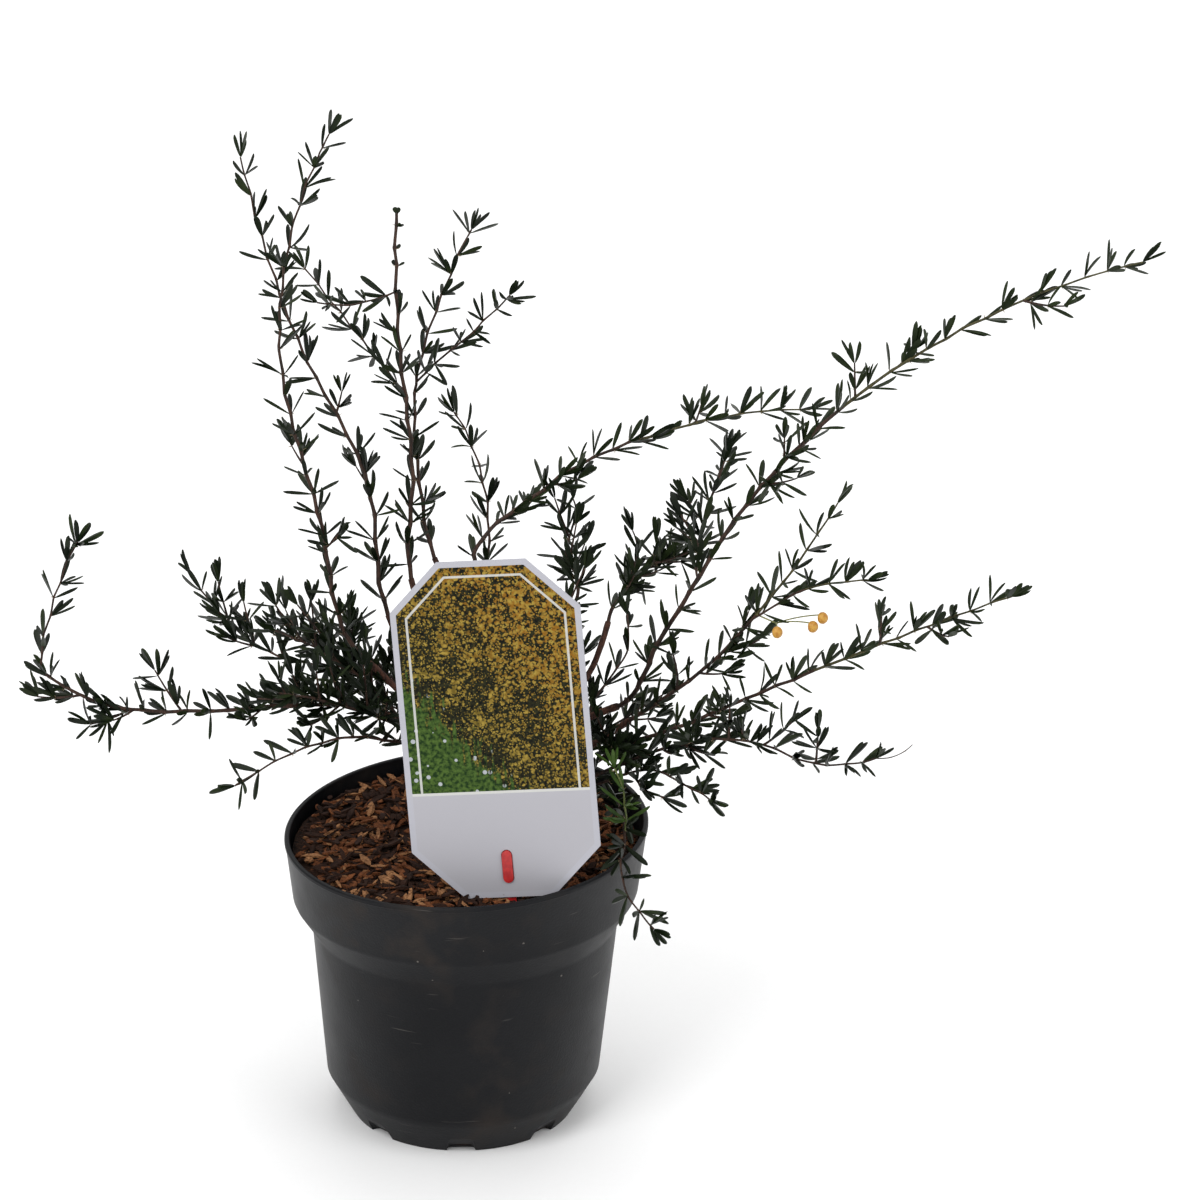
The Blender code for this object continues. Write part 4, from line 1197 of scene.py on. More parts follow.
@dataclass
class Mulch:
    """Shredded bark: bent flat chips strewn over the compost, in three colours."""

    radius: float = 0.0905
    height: float = 0.1494
    count: int = 2700
    shift: float = 0.0030
    seed: int = 7
    length: tuple = (0.0035, 0.0130)
    width: tuple = (0.0010, 0.0044)
    depth: tuple = (0.0006, 0.0018)
    heap: float = 0.0050
    sink: float = 0.0003
    pitch_drift: float = 0.24
    roll_drift: float = 0.45
    bend_drift: float = 0.10
    section: tuple = ((-0.5, -0.5), (0.5, -0.5), (0.45, 0.5), (-0.45, 0.5))

    def build(self) -> list[bpy.types.Object]:
        """Makes one joined piece of chips for each colour.

        Returns:
            The pieces.
        """
        rng = np.random.default_rng(self.seed)
        finishes = (
            (ChipFinish("chips_dark", rgb(0.006, 0.003, 0.002), rgb(0.034, 0.014, 0.008)), 0.52),
            (ChipFinish("chips_rust", rgb(0.032, 0.010, 0.004), rgb(0.185, 0.064, 0.023)), 0.32),
            (ChipFinish("chips_tan", rgb(0.075, 0.030, 0.013), rgb(0.35, 0.170, 0.075)), 0.16),
        )
        pieces = []
        for finish, share in finishes:
            obj = mesh_object("mulch_" + finish.name, self.chips(int(self.count * share), rng), 30.0)
            pieces.append(settled(obj, finish.material(), "mulch"))
        return pieces

    def chips(self, count: int, rng: np.random.Generator) -> Shape:
        """Strews chips evenly over a disc, more of them low than high.

        A chip is a box section carried along a line of five points. The line bends off its
        chord by b (u^2 - 0.1) of its length, u going from -0.5 to 0.5, and the section tapers
        by 1 - 0.75 |2 u|^3, times chance.

        Args:
            count: How many.
            rng: Seeded source of chance.

        Returns:
            All the chips as one shape.
        """
        length = rng.uniform(*self.length, count)
        width = rng.uniform(*self.width, count)
        depth = rng.uniform(*self.depth, count)
        away = np.sqrt(rng.uniform(0, 1, count)) * (self.radius - length / 2)
        around = rng.uniform(0, 2 * np.pi, count)
        level = self.height + rng.beta(1.2, 2.4, count) * self.heap - self.sink
        middle = np.stack([away * np.cos(around) + self.shift, away * np.sin(around), level], -1)
        yaw, pitch = rng.uniform(0, 2 * np.pi, count), rng.normal(0, self.pitch_drift, count)
        ahead = np.stack([np.cos(yaw) * np.cos(pitch), np.sin(yaw) * np.cos(pitch), np.sin(pitch)], -1)
        side = np.stack([-np.sin(yaw), np.cos(yaw), rng.normal(0, self.roll_drift, count)], -1)
        side = squared(side, ahead)
        over = np.cross(ahead, side)
        along = np.linspace(-0.5, 0.5, 5)
        bend = rng.normal(0, self.bend_drift, count)[:, None] * (along ** 2 - 0.1) * length[:, None]
        taper = (1 - 0.75 * np.abs(along * 2) ** 3)[None] * rng.uniform(0.75, 1.15, (count, len(along)))
        spine = middle[:, None] + ahead[:, None] * (along * length[:, None])[..., None]
        spine = spine + over[:, None] * bend[..., None]
        rings = [
            spine + side[:, None] * (width[:, None] * taper * sideways)[..., None]
            + over[:, None] * (depth[:, None] * taper * upwards)[..., None]
            for sideways, upwards in self.section
        ]
        points = np.stack(rings, 2).reshape(-1, 3)
        sides, size = len(rings), len(rings) * len(along)
        base = np.arange(count)[:, None] * size
        start = (base + np.arange(len(along) - 1) * sides)[..., None]
        k = np.arange(sides)
        n = (k + 1) % sides
        walls = np.stack([start + k, start + n, start + sides + n, start + sides + k], -1).reshape(-1, 4)
        caps = np.concatenate([base + k[::-1], base + size - sides + k])
        return Shape(points, np.concatenate([walls, caps]))


# Leaves, twigs and buds

@dataclass(frozen=True)
class LeafForm:
    """One narrow leaf in its own outline: a closed blade of a few faces with rolled edges.

    It is widest past its middle, narrows slowly to its foot and ends in a short point. Rows
    are places along it as shares of its length, and half has the widths there over the widest.
    Ridge, roll and under are the heights of its middle line, edges and underside over its half
    width.
    """

    rows: tuple = (0.04, 0.20, 0.45, 0.68, 0.86, 0.96)
    half: tuple = (0.30, 0.64, 0.92, 1.00, 0.84, 0.46)
    ridge: float = 0.44
    roll: float = -0.42
    under: float = -0.34

    def place(
        self, base: np.ndarray, ahead: np.ndarray, top: np.ndarray,
        length: np.ndarray, width: np.ndarray, bend: np.ndarray,
    ) -> Shape:
        """Makes many leaves at once.

        A point (x, y, z) of the outline goes to base + x L ahead + y W side
        + (z W - bend x^2 L) top, where L and W are the leaf's length and width.

        Args:
            base: Where each leaf starts.
            ahead: Its direction.
            top: The direction its upper side faces.
            length: Its length.
            width: Its width.
            bend: How far its tip bends down, as a share of its length.

        Returns:
            All the leaves as one shape.
        """
        half = 0.5 * np.array(self.half)
        section = np.array([(-1, self.roll), (0, self.ridge), (1, self.roll), (0, self.under)])
        x = np.concatenate([[0], np.repeat(self.rows, 4), [1]])
        y = np.concatenate([[0], (half[:, None] * section[:, 0]).ravel(), [0]])
        z = np.concatenate([[0], (half[:, None] * section[:, 1]).ravel(), [0]])
        side = np.cross(top, ahead)
        drop = -bend[:, None] * x ** 2 * length[:, None]
        points = (
            base[:, None] + ahead[:, None] * (x * length[:, None])[..., None]
            + side[:, None] * (y * width[:, None])[..., None]
            + top[:, None] * (z * width[:, None] + drop)[..., None]
        )
        size = len(x)
        offset = np.arange(len(base))[:, None, None] * size
        k = np.arange(4)
        n = (k + 1) % 4
        ring = 1 + np.arange(len(self.rows) - 1)[:, None] * 4
        quads = np.stack([ring + k, ring + 4 + k, ring + 4 + n, ring + n], -1).reshape(1, -1, 4) + offset
        first = np.stack([np.zeros(4, int), 1 + k, 1 + n], -1)
        last = np.stack([np.full(4, size - 1), size - 5 + n, size - 5 + k], -1)
        tris = np.concatenate([first, last])[None] + offset
        return Shape(points.reshape(-1, 3), quads.reshape(-1, 4), tris.reshape(-1, 3))


@dataclass(frozen=True)
class TuftRule:
    """How the leaves of a tuft stand and vary.

    Pairs are a least and a most, but for spread, a mean and a drift, for size, the powers of
    a beta curve, and for lighter, the chance of the next lighter tint at the foot of the shoot
    and what its tip adds. Drifts are standard deviations.
    """

    least: int = 2
    extra: float = 1.9
    most: int = 7
    bare_count: int = 2
    tip_count: int = 4
    turn_drift: float = 0.75
    other_side: float = 0.3
    spread: tuple = (0.88, 0.22)
    tip_spread: tuple = (0.0, 0.5)
    rise: float = 0.55
    size: tuple = (2.6, 1.8)
    length: tuple = (0.0095, 0.0170)
    width: tuple = (0.0022, 0.0030)
    width_share: tuple = (0.85, 1.15)
    bare_share: float = 0.26
    tip_share: float = 0.85
    foot_share: float = 0.6
    top_lift: float = 0.5
    top_drift: float = 0.28
    bend_drift: float = 0.11
    lighter: tuple = (0.10, 0.18)
    darker_above: float = 0.90


@dataclass
class Tufts:
    """A shoot's leaves: distance along it, turn round it and angle off it, and its spines."""

    place: np.ndarray
    turn: np.ndarray
    spread: np.ndarray
    spines: list


@dataclass
class Harvest:
    """What growing the shoots yields: twigs and leaves by tint, and spines."""

    twigs: dict = field(default_factory=lambda: {tint: [] for tint in Tint})
    leaves: dict = field(default_factory=lambda: {tint: [] for tint in Tint})
    spines: list = field(default_factory=list)


@dataclass
class Buds:
    """Three round orange buds on thin stalks that part from one knot."""

    parent: str = "rising_right"
    at: float = 0.52
    knot: tuple = (0.010, -0.004, -0.003)
    middles: tuple = ((163, -42, 291), (181, -46, 296), (186, -44, 300))
    stem_radius: float = 0.00042
    stalk_radius: float = 0.00036
    stalk_end: float = 0.0018
    arch: float = 0.002
    radius: float = 0.0027
    half_height: float = 0.0031
    lobes: int = 5
    lobe_depth: float = 0.05

    def bud(self) -> Shape:
        """Turns r = R sin(a)^0.9, z = -H cos(a) round Z, times 1 + depth cos(lobes * angle).

        Returns:
            A bud about the frame's middle.
        """
        a = np.linspace(0, np.pi, 14)
        profile = np.stack([self.radius * np.sin(a) ** 0.9, -self.half_height * np.cos(a)], -1)
        profile[[0, -1], 0] = 0
        bud = revolved(profile, 20)
        angle = np.arctan2(bud.points[:, 1], bud.points[:, 0])
        lobes = 1 + self.lobe_depth * np.cos(self.lobes * angle)
        bud.points = bud.points * np.stack([lobes, lobes, np.ones_like(lobes)], -1)
        return bud

    def build(self, paths: dict[str, Path]) -> list[bpy.types.Object]:
        """Makes the stalks, which are arched quadratic curves, and the buds on their ends.

        Args:
            paths: Every limb's path.

        Returns:
            The stalks' piece and the buds' piece.
        """
        path = paths[self.parent]
        root = path.at(path.length * self.at)[0]
        knot = root + self.knot
        stalks = [tube(np.linspace(root, knot, 5), np.full(5, self.stem_radius), 7)]
        buds = []
        for place in self.middles:
            middle = np.array(place) * MM
            top = middle + (0, 0, self.stalk_end)
            bend = (knot + top) / 2 + (0, 0, self.arch)
            t = np.linspace(0, 1, 12)[:, None]
            line = knot * (1 - t) ** 2 + 2 * bend * t * (1 - t) + top * t * t
            stalks.append(tube(line, np.full(len(line), self.stalk_radius), 7))
            bud = self.bud()
            bud.points = bud.points + middle
            buds.append(bud)
        pieces = []
        for name, shapes, finish in (
            ("bud_stalks", stalks, PlainFinish("stalk_green", rgb(0.10, 0.12, 0.03), rgb(0.30, 0.28, 0.09))),
            ("flower_buds", buds, PlainFinish("bud_orange", rgb(0.42, 0.17, 0.014), rgb(0.60, 0.33, 0.05))),
        ):
            pieces.append(settled(mesh_object(name, joined(shapes), 60.0), finish.material(), "foliage"))
        return pieces


@dataclass
class Shrub:
    """The plant: bark on stool and boughs, and shoots with tufts of narrow leaves."""

    card: Card
    rule: TuftRule = TuftRule()
    seed: int = 41
    thick_share: float = 0.66
    thin_share: float = 0.88
    stool_radii: tuple = (
        (0.0, 0.0124), (0.12, 0.0098), (0.35, 0.0080), (0.70, 0.0068), (0.92, 0.0054), (1.0, 0.0028))
    bark_step: float = 0.0012
    flare: float = 0.25
    flare_length: float = 0.004
    stem_step: float = 0.0022
    first_node: float = 0.7
    node_step: float = 0.0112
    node_drift: float = 0.0014
    node_swell: float = 0.28
    node_length: float = 0.0011
    zigzag: float = 0.00056
    zigzag_start: float = 0.006
    side_drift: float = 0.6
    tip_room: float = 0.0075
    tip_part: float = 0.14
    old_part: float = 0.55
    spur_place: tuple = (0.12, 0.88)
    spur_spread: float = 0.95
    spur_rise: float = 0.45
    spur_length: tuple = (0.010, 0.024)
    spur_radii: tuple = (0.0007, 0.0004)
    spur_from: float = 0.004
    spur_step: float = 0.8
    spur_curl: float = 0.18
    spine_length: float = 0.0026
    spine_radius: float = 0.00022
    spine_fan: float = 0.7
    spine_spread: float = 1.35
    rim_shift: float = 0.003
    rim_radius: float = 0.0955
    rim_clear: float = 0.0015
    rim_inset: float = 0.002
    rim_band: float = 0.005
    rim_height: float = 0.1660
    mulch_height: float = 0.1505
    wall_height: float = 0.159
    wall_radius: float = 0.084

    def limb_radii(self, limb: Limb, share: np.ndarray) -> np.ndarray:
        """Radius at shares of a limb's length, in metres; finer than the solid that it replaces."""
        thick, thin = limb.thick * self.thick_share, limb.thin * self.thin_share
        return (thick + (thin - thick) * share) * MM

    def build_bark(self, paths: dict[str, Path]) -> bpy.types.Object:
        """Makes the stool and boughs with their bark's relief, as one piece.

        A bough's radius is widened at its foot by 1 + flare * exp(-distance / flare length).

        Args:
            paths: Every limb's path.

        Returns:
            The piece.
        """
        stool = paths["stool"]
        share = np.linspace(0, 1, 40)
        radius = np.interp(share, *np.array(self.stool_radii).T)
        shapes = [tube(stool.at(share * stool.length), radius, 40, 0.035)]
        for name, limb in BOUGHS.items():
            path = paths[name]
            share = np.linspace(0, 1, max(12, int(path.length / self.bark_step)))
            flare = 1 + self.flare * np.exp(-share * path.length / self.flare_length)
            radius = self.limb_radii(limb, share) * flare
            shapes.append(tube(path.at(share * path.length), radius, 18, 0.05))
        obj = mesh_object("bark_limbs", joined(shapes), 50.0)
        finish = BarkFinish("bark_old", rgb(0.024, 0.011, 0.008), rgb(0.110, 0.048, 0.031), 0.85, 0.0004)
        return settled(obj, finish.material(), "bark", "stool", *BOUGHS)

    def blocked(self, points: np.ndarray) -> np.ndarray:
        """Says which points lie in or in front of the card, in the mulch or in the pot's wall.

        Args:
            points: Places in the frame.

        Returns:
            One flag a point.
        """
        away = np.hypot(points[..., 0] - self.rim_shift, points[..., 1])
        height = points[..., 2]
        within = away < self.rim_radius + self.rim_clear
        in_pot = within & (height < self.mulch_height)
        in_band = np.abs(away - self.rim_radius + self.rim_inset) < self.rim_band
        near_rim = in_band & (height < self.rim_height)
        near_wall = within & (height < self.wall_height) & (away > self.wall_radius)
        return self.card.hides(points) | in_pot | near_rim | near_wall

    def shoot_line(
        self, path: Path, length: float, rng: np.random.Generator,
    ) -> tuple[np.ndarray, np.ndarray]:
        """Bends a shoot's line a little at every node: to and fro one way, by chance the other.

        Args:
            path: The smooth path.
            length: How much of it the stem takes; the last leaves fill the rest.
            rng: Seeded source of chance.

        Returns:
            The points of the line, about 2 mm apart, and the distances of the nodes.
        """
        distance = np.linspace(0, length, max(4, int(length / self.stem_step)))
        nodes = np.arange(self.node_step * self.first_node, length, self.node_step)
        nodes = nodes + rng.uniform(-self.node_drift, self.node_drift, len(nodes))
        line = path.at(distance)
        first, second = across(path.heading(distance))
        if len(nodes) > 1:
            wave = np.interp(distance, nodes, np.where(np.arange(len(nodes)) % 2, 1.0, -1.0))
            drift = rng.uniform(-self.side_drift, self.side_drift, len(nodes))
            other = np.interp(distance, nodes, drift)
            fade = np.clip(distance / self.zigzag_start, 0, 1)[:, None]
            line = line + (first * wave[:, None] + second * other[:, None]) * self.zigzag * fade
        return line, nodes

    def grow(self, paths: dict[str, Path]) -> Harvest:
        """Grows every shoot with its tufts and side twigs.

        Args:
            paths: Every limb's path.

        Returns:
            Their twigs, leaves and spines.
        """
        harvest = Harvest()
        for number, (name, limb) in enumerate(SHOOTS.items()):
            rng = np.random.default_rng(self.seed + number)
            length = paths[name].length
            if limb.bare == 0:
                length -= min(self.tip_room, self.tip_part * length)
            line, nodes = self.shoot_line(paths[name], length, rng)
            radii = self.limb_radii(limb, np.linspace(0, 1, len(line)))
            self.add_stem(harvest, limb, line, radii, nodes, length)
            nodes = nodes if limb.bare < 1 else nodes[:0]
            self.add_tufts(harvest, limb, Path(line), nodes, radii, rng)
            for _ in range(limb.spurs * 2):
                self.add_spur(harvest, limb, Path(line), rng)
        return harvest

    def add_stem(
        self, harvest: Harvest, limb: Limb, line: np.ndarray, radii: np.ndarray,
        nodes: np.ndarray, length: float,
    ) -> None:
        """Adds a shoot's stem, swollen a little at each node; the outer half is younger wood.

        The radius is widened by 1 + swell * exp(-(distance to the nearest node / length)^2).

        Args:
            harvest: Takes the stem's one or two tubes.
            limb: The shoot.
            line: Its points.
            radii: Its radius at each of them.
            nodes: Distances of its nodes.
            length: The stem's length.
        """
        distance = np.linspace(0, length, len(line))
        near = np.abs(distance[:, None] - nodes[None]).min(1) if len(nodes) else np.ones(len(line))
        swollen = radii * (1 + self.node_swell * np.exp(-(near / self.node_length) ** 2))
        fresh = limb.tint is Tint.FRESH
        cut = len(line) if fresh else max(2, int(len(line) * self.old_part))
        old = Tint.FRESH if fresh else Tint.DARK
        harvest.twigs[old].append(tube(line[:cut], swollen[:cut], 8, 0.03))
        if cut < len(line) - 1:
            young = Tint.MIDDLE if limb.tint is Tint.MIDDLE else Tint.DARK
            harvest.twigs[young].append(tube(line[cut - 1:], swollen[cut - 1:], 7, 0.02))

    def add_spur(self, harvest: Harvest, limb: Limb, line: Path, rng: np.random.Generator) -> None:
        """Adds a short side twig with its own tufts, if it stays clear of the card and pot.

        At the share s of its length L it has curled up by curl * s^2 * L.

        Args:
            harvest: Takes the twig, its leaves and spines.
            limb: The shoot.
            line: Its line.
            rng: Seeded source of chance.
        """
        distance = rng.uniform(*self.spur_place) * line.length
        heading = line.heading(distance)
        start = line.at(distance)
        turn, spread = rng.uniform(0, 2 * np.pi, 1), np.array([self.spur_spread])
        ahead = self.leaf_directions(heading, turn, spread, self.spur_rise)
        length = rng.uniform(*self.spur_length)
        share = np.linspace(0, 1, 7)[:, None]
        curl = UP * share ** 2 * length * self.spur_curl
        points = start + ahead * share * length + curl
        if self.blocked(points).any():
            return
        radius = np.linspace(*self.spur_radii, len(points))
        harvest.twigs[Tint.DARK].append(tube(points, radius, 6))
        nodes = np.arange(self.spur_from, length, self.node_step * self.spur_step)
        self.add_tufts(harvest, limb, Path(points), nodes, radius, rng)

    def leaf_directions(
        self, heading: np.ndarray, turn: np.ndarray, spread: np.ndarray, rise: float,
    ) -> np.ndarray:
        """Directions out from the stem and forward, and up on a level shoot.

        That is the heading times cos(spread), a side vector at the turn times sin(spread), and
        up times rise and 1 - |the heading's own rise|.

        Args:
            heading: The stem's heading at each leaf.
            turn: Angle round the stem.
            spread: Angle away from the heading.
            rise: How much a level shoot's leaves turn up.

        Returns:
            Unit vectors.
        """
        first, second = across(heading)
        side = first * np.cos(turn)[:, None] + second * np.sin(turn)[:, None]
        level = 1 - np.abs(heading[:, 2:3])
        ahead = heading * np.cos(spread)[:, None] + side * np.sin(spread)[:, None]
        return unit(ahead + UP * rise * level)

    def tufts(self, limb: Limb, line: Path, nodes: np.ndarray, rng: np.random.Generator) -> Tufts:
        """Deals leaves to the nodes, and to the tip unless the shoot is bare.

        Each tuft is a golden angle round the stem from the one before it.

        Args:
            limb: The shoot.
            line: Its line.
            nodes: Distances of its nodes.
            rng: Seeded source of chance.

        Returns:
            Its tufts, with a spine's distance and turn for each node.
        """
        rule = self.rule
        places, turns, spreads, spines = [], [], [], []
        turn = rng.uniform(0, 2 * np.pi)
        tips = [] if limb.bare == 1 else [line.length]
        leafy = line.length * (1 - limb.bare)
        for distance in list(nodes) + tips:
            turn += GOLDEN_ANGLE
            at_tip = distance >= line.length
            if distance > leafy:
                count = rule.bare_count
            elif at_tip:
                count = rule.tip_count
            else:
                count = min(rule.least + rng.poisson(rule.extra * limb.density), rule.most)
            for _ in range(count):
                places.append(distance)
                drift = rng.normal(0, rule.turn_drift)
                turns.append(turn + drift + (np.pi if rng.uniform() < rule.other_side else 0))
                spreads.append(rng.uniform(*rule.tip_spread) if at_tip else rng.normal(*rule.spread))
            if not at_tip:
                spines.append((distance, turn))
        return Tufts(np.array(places), np.array(turns), np.array(spreads), spines)

    def add_tufts(
        self, harvest: Harvest, limb: Limb, line: Path, nodes: np.ndarray, radii: np.ndarray,
        rng: np.random.Generator,
    ) -> None:
        """Adds a tuft of leaves and a three-part spine at each node, and a tuft at the tip.

        Args:
            harvest: Takes the leaves and spines.
            limb: The shoot.
            line: Its line.
            nodes: Distances of its nodes.
            radii: The stem's radius at even steps along it.
            rng: Seeded source of chance.
        """
        tufts, rule = self.tufts(limb, line, nodes, rng), self.rule
        place, count = tufts.place, len(tufts.place)
        if count == 0:
            return
        heading = line.heading(place)
        ahead = self.leaf_directions(heading, tufts.turn, tufts.spread, rule.rise)
        share = place / line.length
        radius = np.interp(share, np.linspace(0, 1, len(radii)), radii)
        base = line.at(place) + squared(ahead, heading) * (radius * rule.foot_share)[:, None]
        size = rng.beta(*rule.size, count)
        length = rule.length[0] + (rule.length[1] - rule.length[0]) * size
        width = rule.width[0] + (rule.width[1] - rule.width[0]) * size
        width = width * rng.uniform(*rule.width_share, count)
        at_tip = np.where(place >= line.length, rule.tip_share, 1.0)
        length = length * np.where(place > line.length * (1 - limb.bare), rule.bare_share, at_tip)
        top = squared(heading + UP * rule.top_lift + rng.normal(0, rule.top_drift, (count, 3)), ahead)
        bend = rng.normal(0.0, rule.bend_drift, count)
        length = self.fitted(base, ahead, length)
        reach = ahead * length[:, None]
        free = ~(self.blocked(base + reach) | self.blocked(base + reach * 0.5) | self.blocked(base))
        tint = self.deal(limb, count, share, rng)
        for index, option in enumerate(Tint):
            chosen = free & (tint == index)
            if chosen.any():
                leaves = [values[chosen] for values in (base, ahead, top, length, width, bend)]
                harvest.leaves[option].append(LeafForm().place(*leaves))
        self.add_spines(harvest, line, tufts.spines, radii)

    def fitted(self, base: np.ndarray, ahead: np.ndarray, length: np.ndarray) -> np.ndarray:
        """Shortens leaves whose tips would leave the CAD's box, by a fifth up to five times.

        Args:
            base: Where each leaf starts.
            ahead: Its direction.
            length: Its length.

        Returns:
            The lengths to use.
        """
        low, high = np.array(CAD_BOX[0]) + MM, np.array(CAD_BOX[1]) - MM
        for _ in range(5):
            ends = base + ahead * length[:, None]
            length = np.where(((ends < low) | (ends > high)).any(-1), length * 0.8, length)
        return length

    def deal(self, limb: Limb, count: int, share: np.ndarray, rng: np.random.Generator) -> np.ndarray:
        """Deals leaves into tints: mostly the spray's own, lighter towards its tip.

        Args:
            limb: The shoot.
            count: How many leaves.
            share: Each leaf's place along the shoot.
            rng: Seeded source of chance.

        Returns:
            Each leaf's index among the tints.
        """
        chance = rng.uniform(0, 1, count)
        own = list(Tint).index(limb.tint)
        lighter = chance < (self.rule.lighter[0] + self.rule.lighter[1] * share)
        tint = np.full(count, own)
        tint[lighter] = np.minimum(own + 1, 1 if limb.tint is not Tint.FRESH else 2)
        tint[(chance > self.rule.darker_above) & (own == 1)] = 0
        return tint

    def add_spines(self, harvest: Harvest, line: Path, rows: list, radii: np.ndarray) -> None:
        """Adds a spine of three thin three-sided points under each tuft.

        Args:
            harvest: Takes the spines.
            line: The shoot's line.
            rows: Each spine's distance and turn.
            radii: The stem's radius at even steps along it.
        """
        if not rows:
            return
        fan = (-self.spine_fan, 0.0, self.spine_fan)
        distance = np.repeat([row[0] for row in rows], 3)
        turn = np.repeat([row[1] for row in rows], 3) + np.tile(fan, len(rows))
        heading = line.heading(distance)
        ahead = self.leaf_directions(heading, turn, np.full(len(turn), self.spine_spread), 0.0)
        base = line.at(distance)
        radius = np.interp(distance / line.length, np.linspace(0, 1, len(radii)), radii)
        reach = radius + self.spine_length
        free = ~self.blocked(base + ahead * reach[:, None])
        base, ahead, reach = base[free], ahead[free], reach[free]
        if len(base) == 0:
            return
        first, second = across(ahead)
        corners = [
            base + (first * math.cos(a) + second * math.sin(a)) * self.spine_radius
            for a in (0, 2 * math.pi / 3, 4 * math.pi / 3)
        ]
        points = np.stack(corners + [base + ahead * reach[:, None]], 1).reshape(-1, 3)
        offset = np.arange(len(base))[:, None, None] * 4
        faces = np.array([(0, 1, 3), (1, 2, 3), (2, 0, 3), (0, 2, 1)])[None] + offset
        harvest.spines.append(Shape(points, tris=faces.reshape(-1, 3)))

    def build(self) -> list[bpy.types.Object]:
        """Makes the whole plant.

        Returns:
            Its pieces.
        """
        paths = trace_paths()
        pieces = [self.build_bark(paths)]
        harvest = self.grow(paths)
        finishes = {
            Tint.DARK: (
                LeafFinish("leaf_dark", rgb(0.0030, 0.0060, 0.0024), rgb(0.0085, 0.0145, 0.0050)),
                BarkFinish("twig_brown", rgb(0.013, 0.008, 0.006), rgb(0.058, 0.029, 0.019), 0.7)),
            Tint.MIDDLE: (
                LeafFinish("leaf_middle", rgb(0.0060, 0.0115, 0.0036), rgb(0.017, 0.027, 0.0075)),
                BarkFinish("twig_olive", rgb(0.022, 0.022, 0.008), rgb(0.080, 0.070, 0.025), 0.6)),
            Tint.FRESH: (
                LeafFinish("leaf_fresh", rgb(0.018, 0.045, 0.007), rgb(0.055, 0.098, 0.019)),
                BarkFinish("twig_fresh", rgb(0.05, 0.07, 0.018), rgb(0.13, 0.15, 0.045), 0.6)),
        }
        nodes = [row["node"] for row in frame["record"]["subparts"]]
        masses = [node for node in nodes if node.startswith("foliage_")]
        for tint, (leaf_finish, twig_finish) in finishes.items():
            leaves = mesh_object("leaves_" + tint.value, joined(harvest.leaves[tint]), 70.0)
            twigs = mesh_object("twigs_" + tint.value, joined(harvest.twigs[tint]), 60.0)
            replaced = masses if tint is Tint.DARK else []
            pieces.append(settled(leaves, leaf_finish.material(), "foliage", *replaced))
            pieces.append(settled(twigs, twig_finish.material(), "foliage"))
        straw = PlainFinish("spine_straw", rgb(0.16, 0.11, 0.06), rgb(0.36, 0.28, 0.16))
        spines = mesh_object("spines", joined(harvest.spines), None)
        pieces.append(settled(spines, straw.material(), "foliage"))
        return pieces + Buds().build(paths)


# Stage

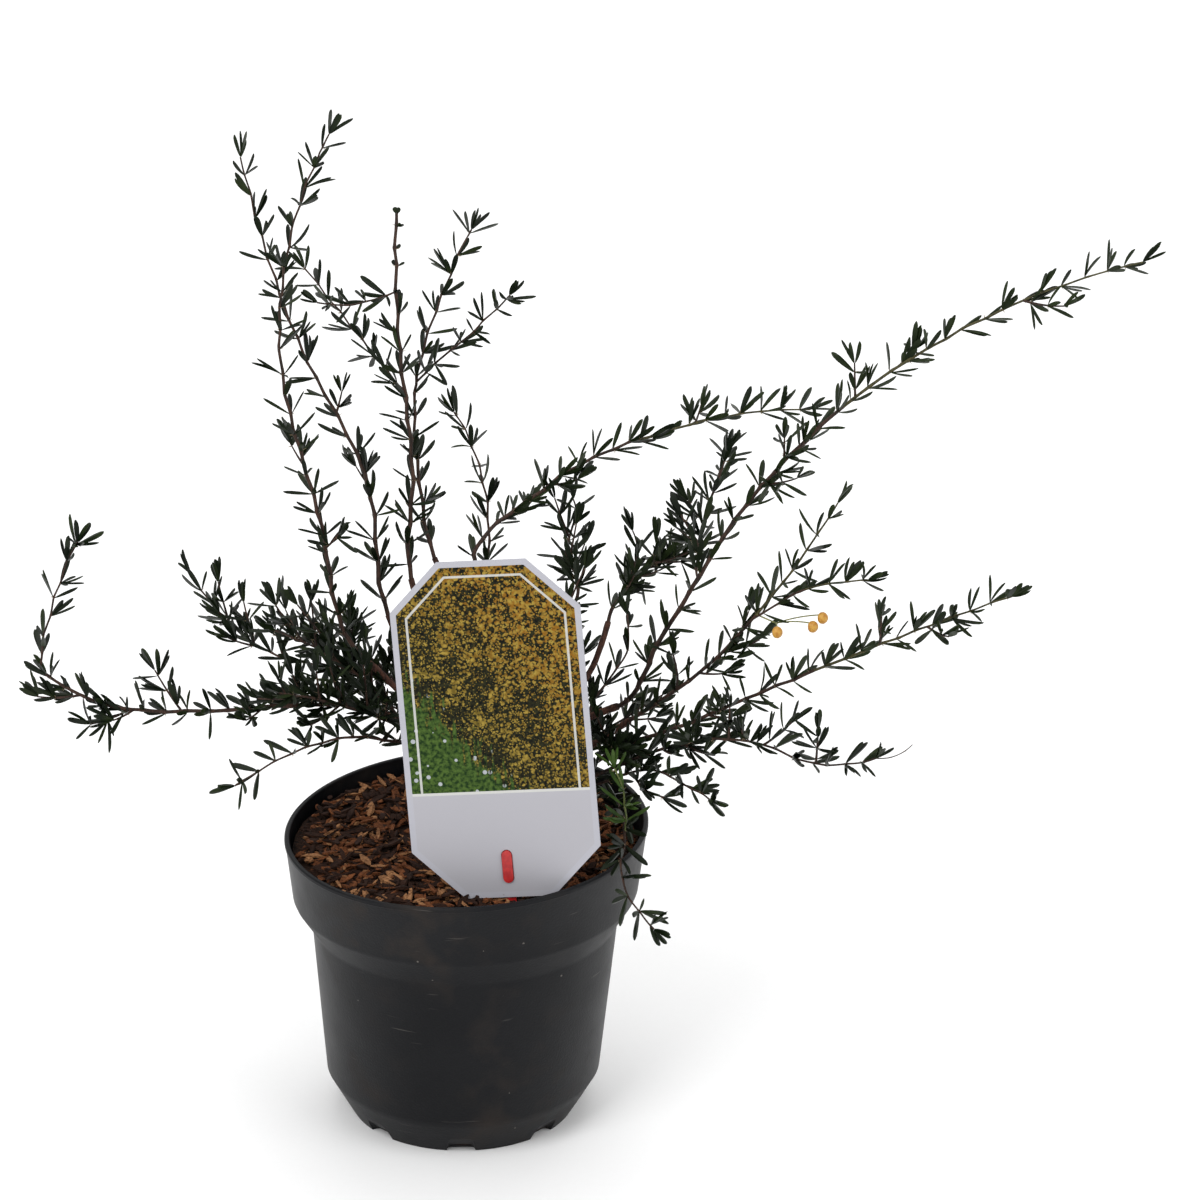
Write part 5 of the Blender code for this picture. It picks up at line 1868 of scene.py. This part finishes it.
@dataclass
class Stage:
    """Pale floor, soft lights and the camera at the photograph's angle."""

    distance: float = 4.0
    elevation: float = math.radians(24.63)
    target: tuple = (0.0727, 0.0, 0.2899)
    lens: float = 233.2
    sensor: float = 36.0
    floor_half: float = 6.0
    floor_drop: float = 0.0002
    world_strength: float = 0.78

    def build(self) -> None:
        """Makes the floor, the lights, the world and the camera."""
        self.floor()
        self.lights()
        self.world()
        self.camera()

    def floor(self) -> None:
        """Makes a wide pale floor just under the pot."""
        half, low = self.floor_half, -self.floor_drop
        points = np.array([(-half, -half, low), (half, -half, low), (half, half, low), (-half, half, low)])
        obj = mesh_object("floor", Shape(points, np.array([[0, 1, 2, 3]])), None)
        shader = Shader("floor_paper")
        colour = shader.mix(shader.noise(300.0, 2.0), rgb(0.90, 0.90, 0.90), rgb(0.92, 0.92, 0.92))
        obj.data.materials.append(shader.finish(colour, 0.9))

    def lights(self) -> None:
        """Makes three large soft lights that aim at the plant."""
        for name, place, size, power in (
            ("key", (-1.6, -2.2, 2.8), 1.8, 62.0),
            ("fill", (2.4, -1.4, 2.0), 2.2, 30.0),
            ("top", (0.2, 1.2, 2.6), 2.0, 26.0),
        ):
            light = bpy.data.lights.new(name, "AREA")
            light.energy = power
            light.size = size
            obj = linked(name, light)
            obj.location = place
            aim = Vector(self.target) - Vector(place)
            obj.rotation_euler = aim.to_track_quat("-Z", "Y").to_euler()

    def world(self) -> None:
        """Makes a bright even world and plain colours."""
        world = bpy.data.worlds.new("studio")
        world.use_nodes = True
        background = world.node_tree.nodes["Background"]
        background.inputs["Color"].default_value = (1, 1, 1, 1)
        background.inputs["Strength"].default_value = self.world_strength
        bpy.context.scene.world = world
        bpy.context.scene.view_settings.view_transform = "Standard"

    def camera(self) -> None:
        """Places the camera."""
        camera = bpy.data.cameras.new("camera")
        camera.lens = self.lens
        camera.sensor_width = self.sensor
        camera.clip_end = 50.0
        obj = linked("camera", camera)
        back = Vector((0, -math.cos(self.elevation), math.sin(self.elevation)))
        obj.location = Vector(self.target) + back * self.distance
        obj.rotation_euler = back.to_track_quat("Z", "Y").to_euler()
        bpy.context.scene.camera = obj


def dress_kept_nodes() -> None:
    """Gives the carried-over solids their finishes."""
    kept = {
        "soil": SoilFinish(),
        "label_peg": PlainFinish("peg_red", rgb(0.34, 0.008, 0.010), rgb(0.46, 0.020, 0.018), 0.35),
    }
    for name, finish in kept.items():
        mesh = frame["nodes"][name].data
        mesh.materials.clear()
        mesh.materials.append(finish.material())


def main() -> None:
    """Builds every piece in order."""
    logging.basicConfig(level=logging.INFO)
    card = Card()
    pieces = [Pot().build(), card.build(), *Mulch().build()]
    pieces += Shrub(card).build()
    dress_kept_nodes()
    Stage().build()
    for piece in pieces:
        LOG.info("%s: %d faces", piece.name, len(piece.data.polygons))


if __name__ == "__main__":
    main()
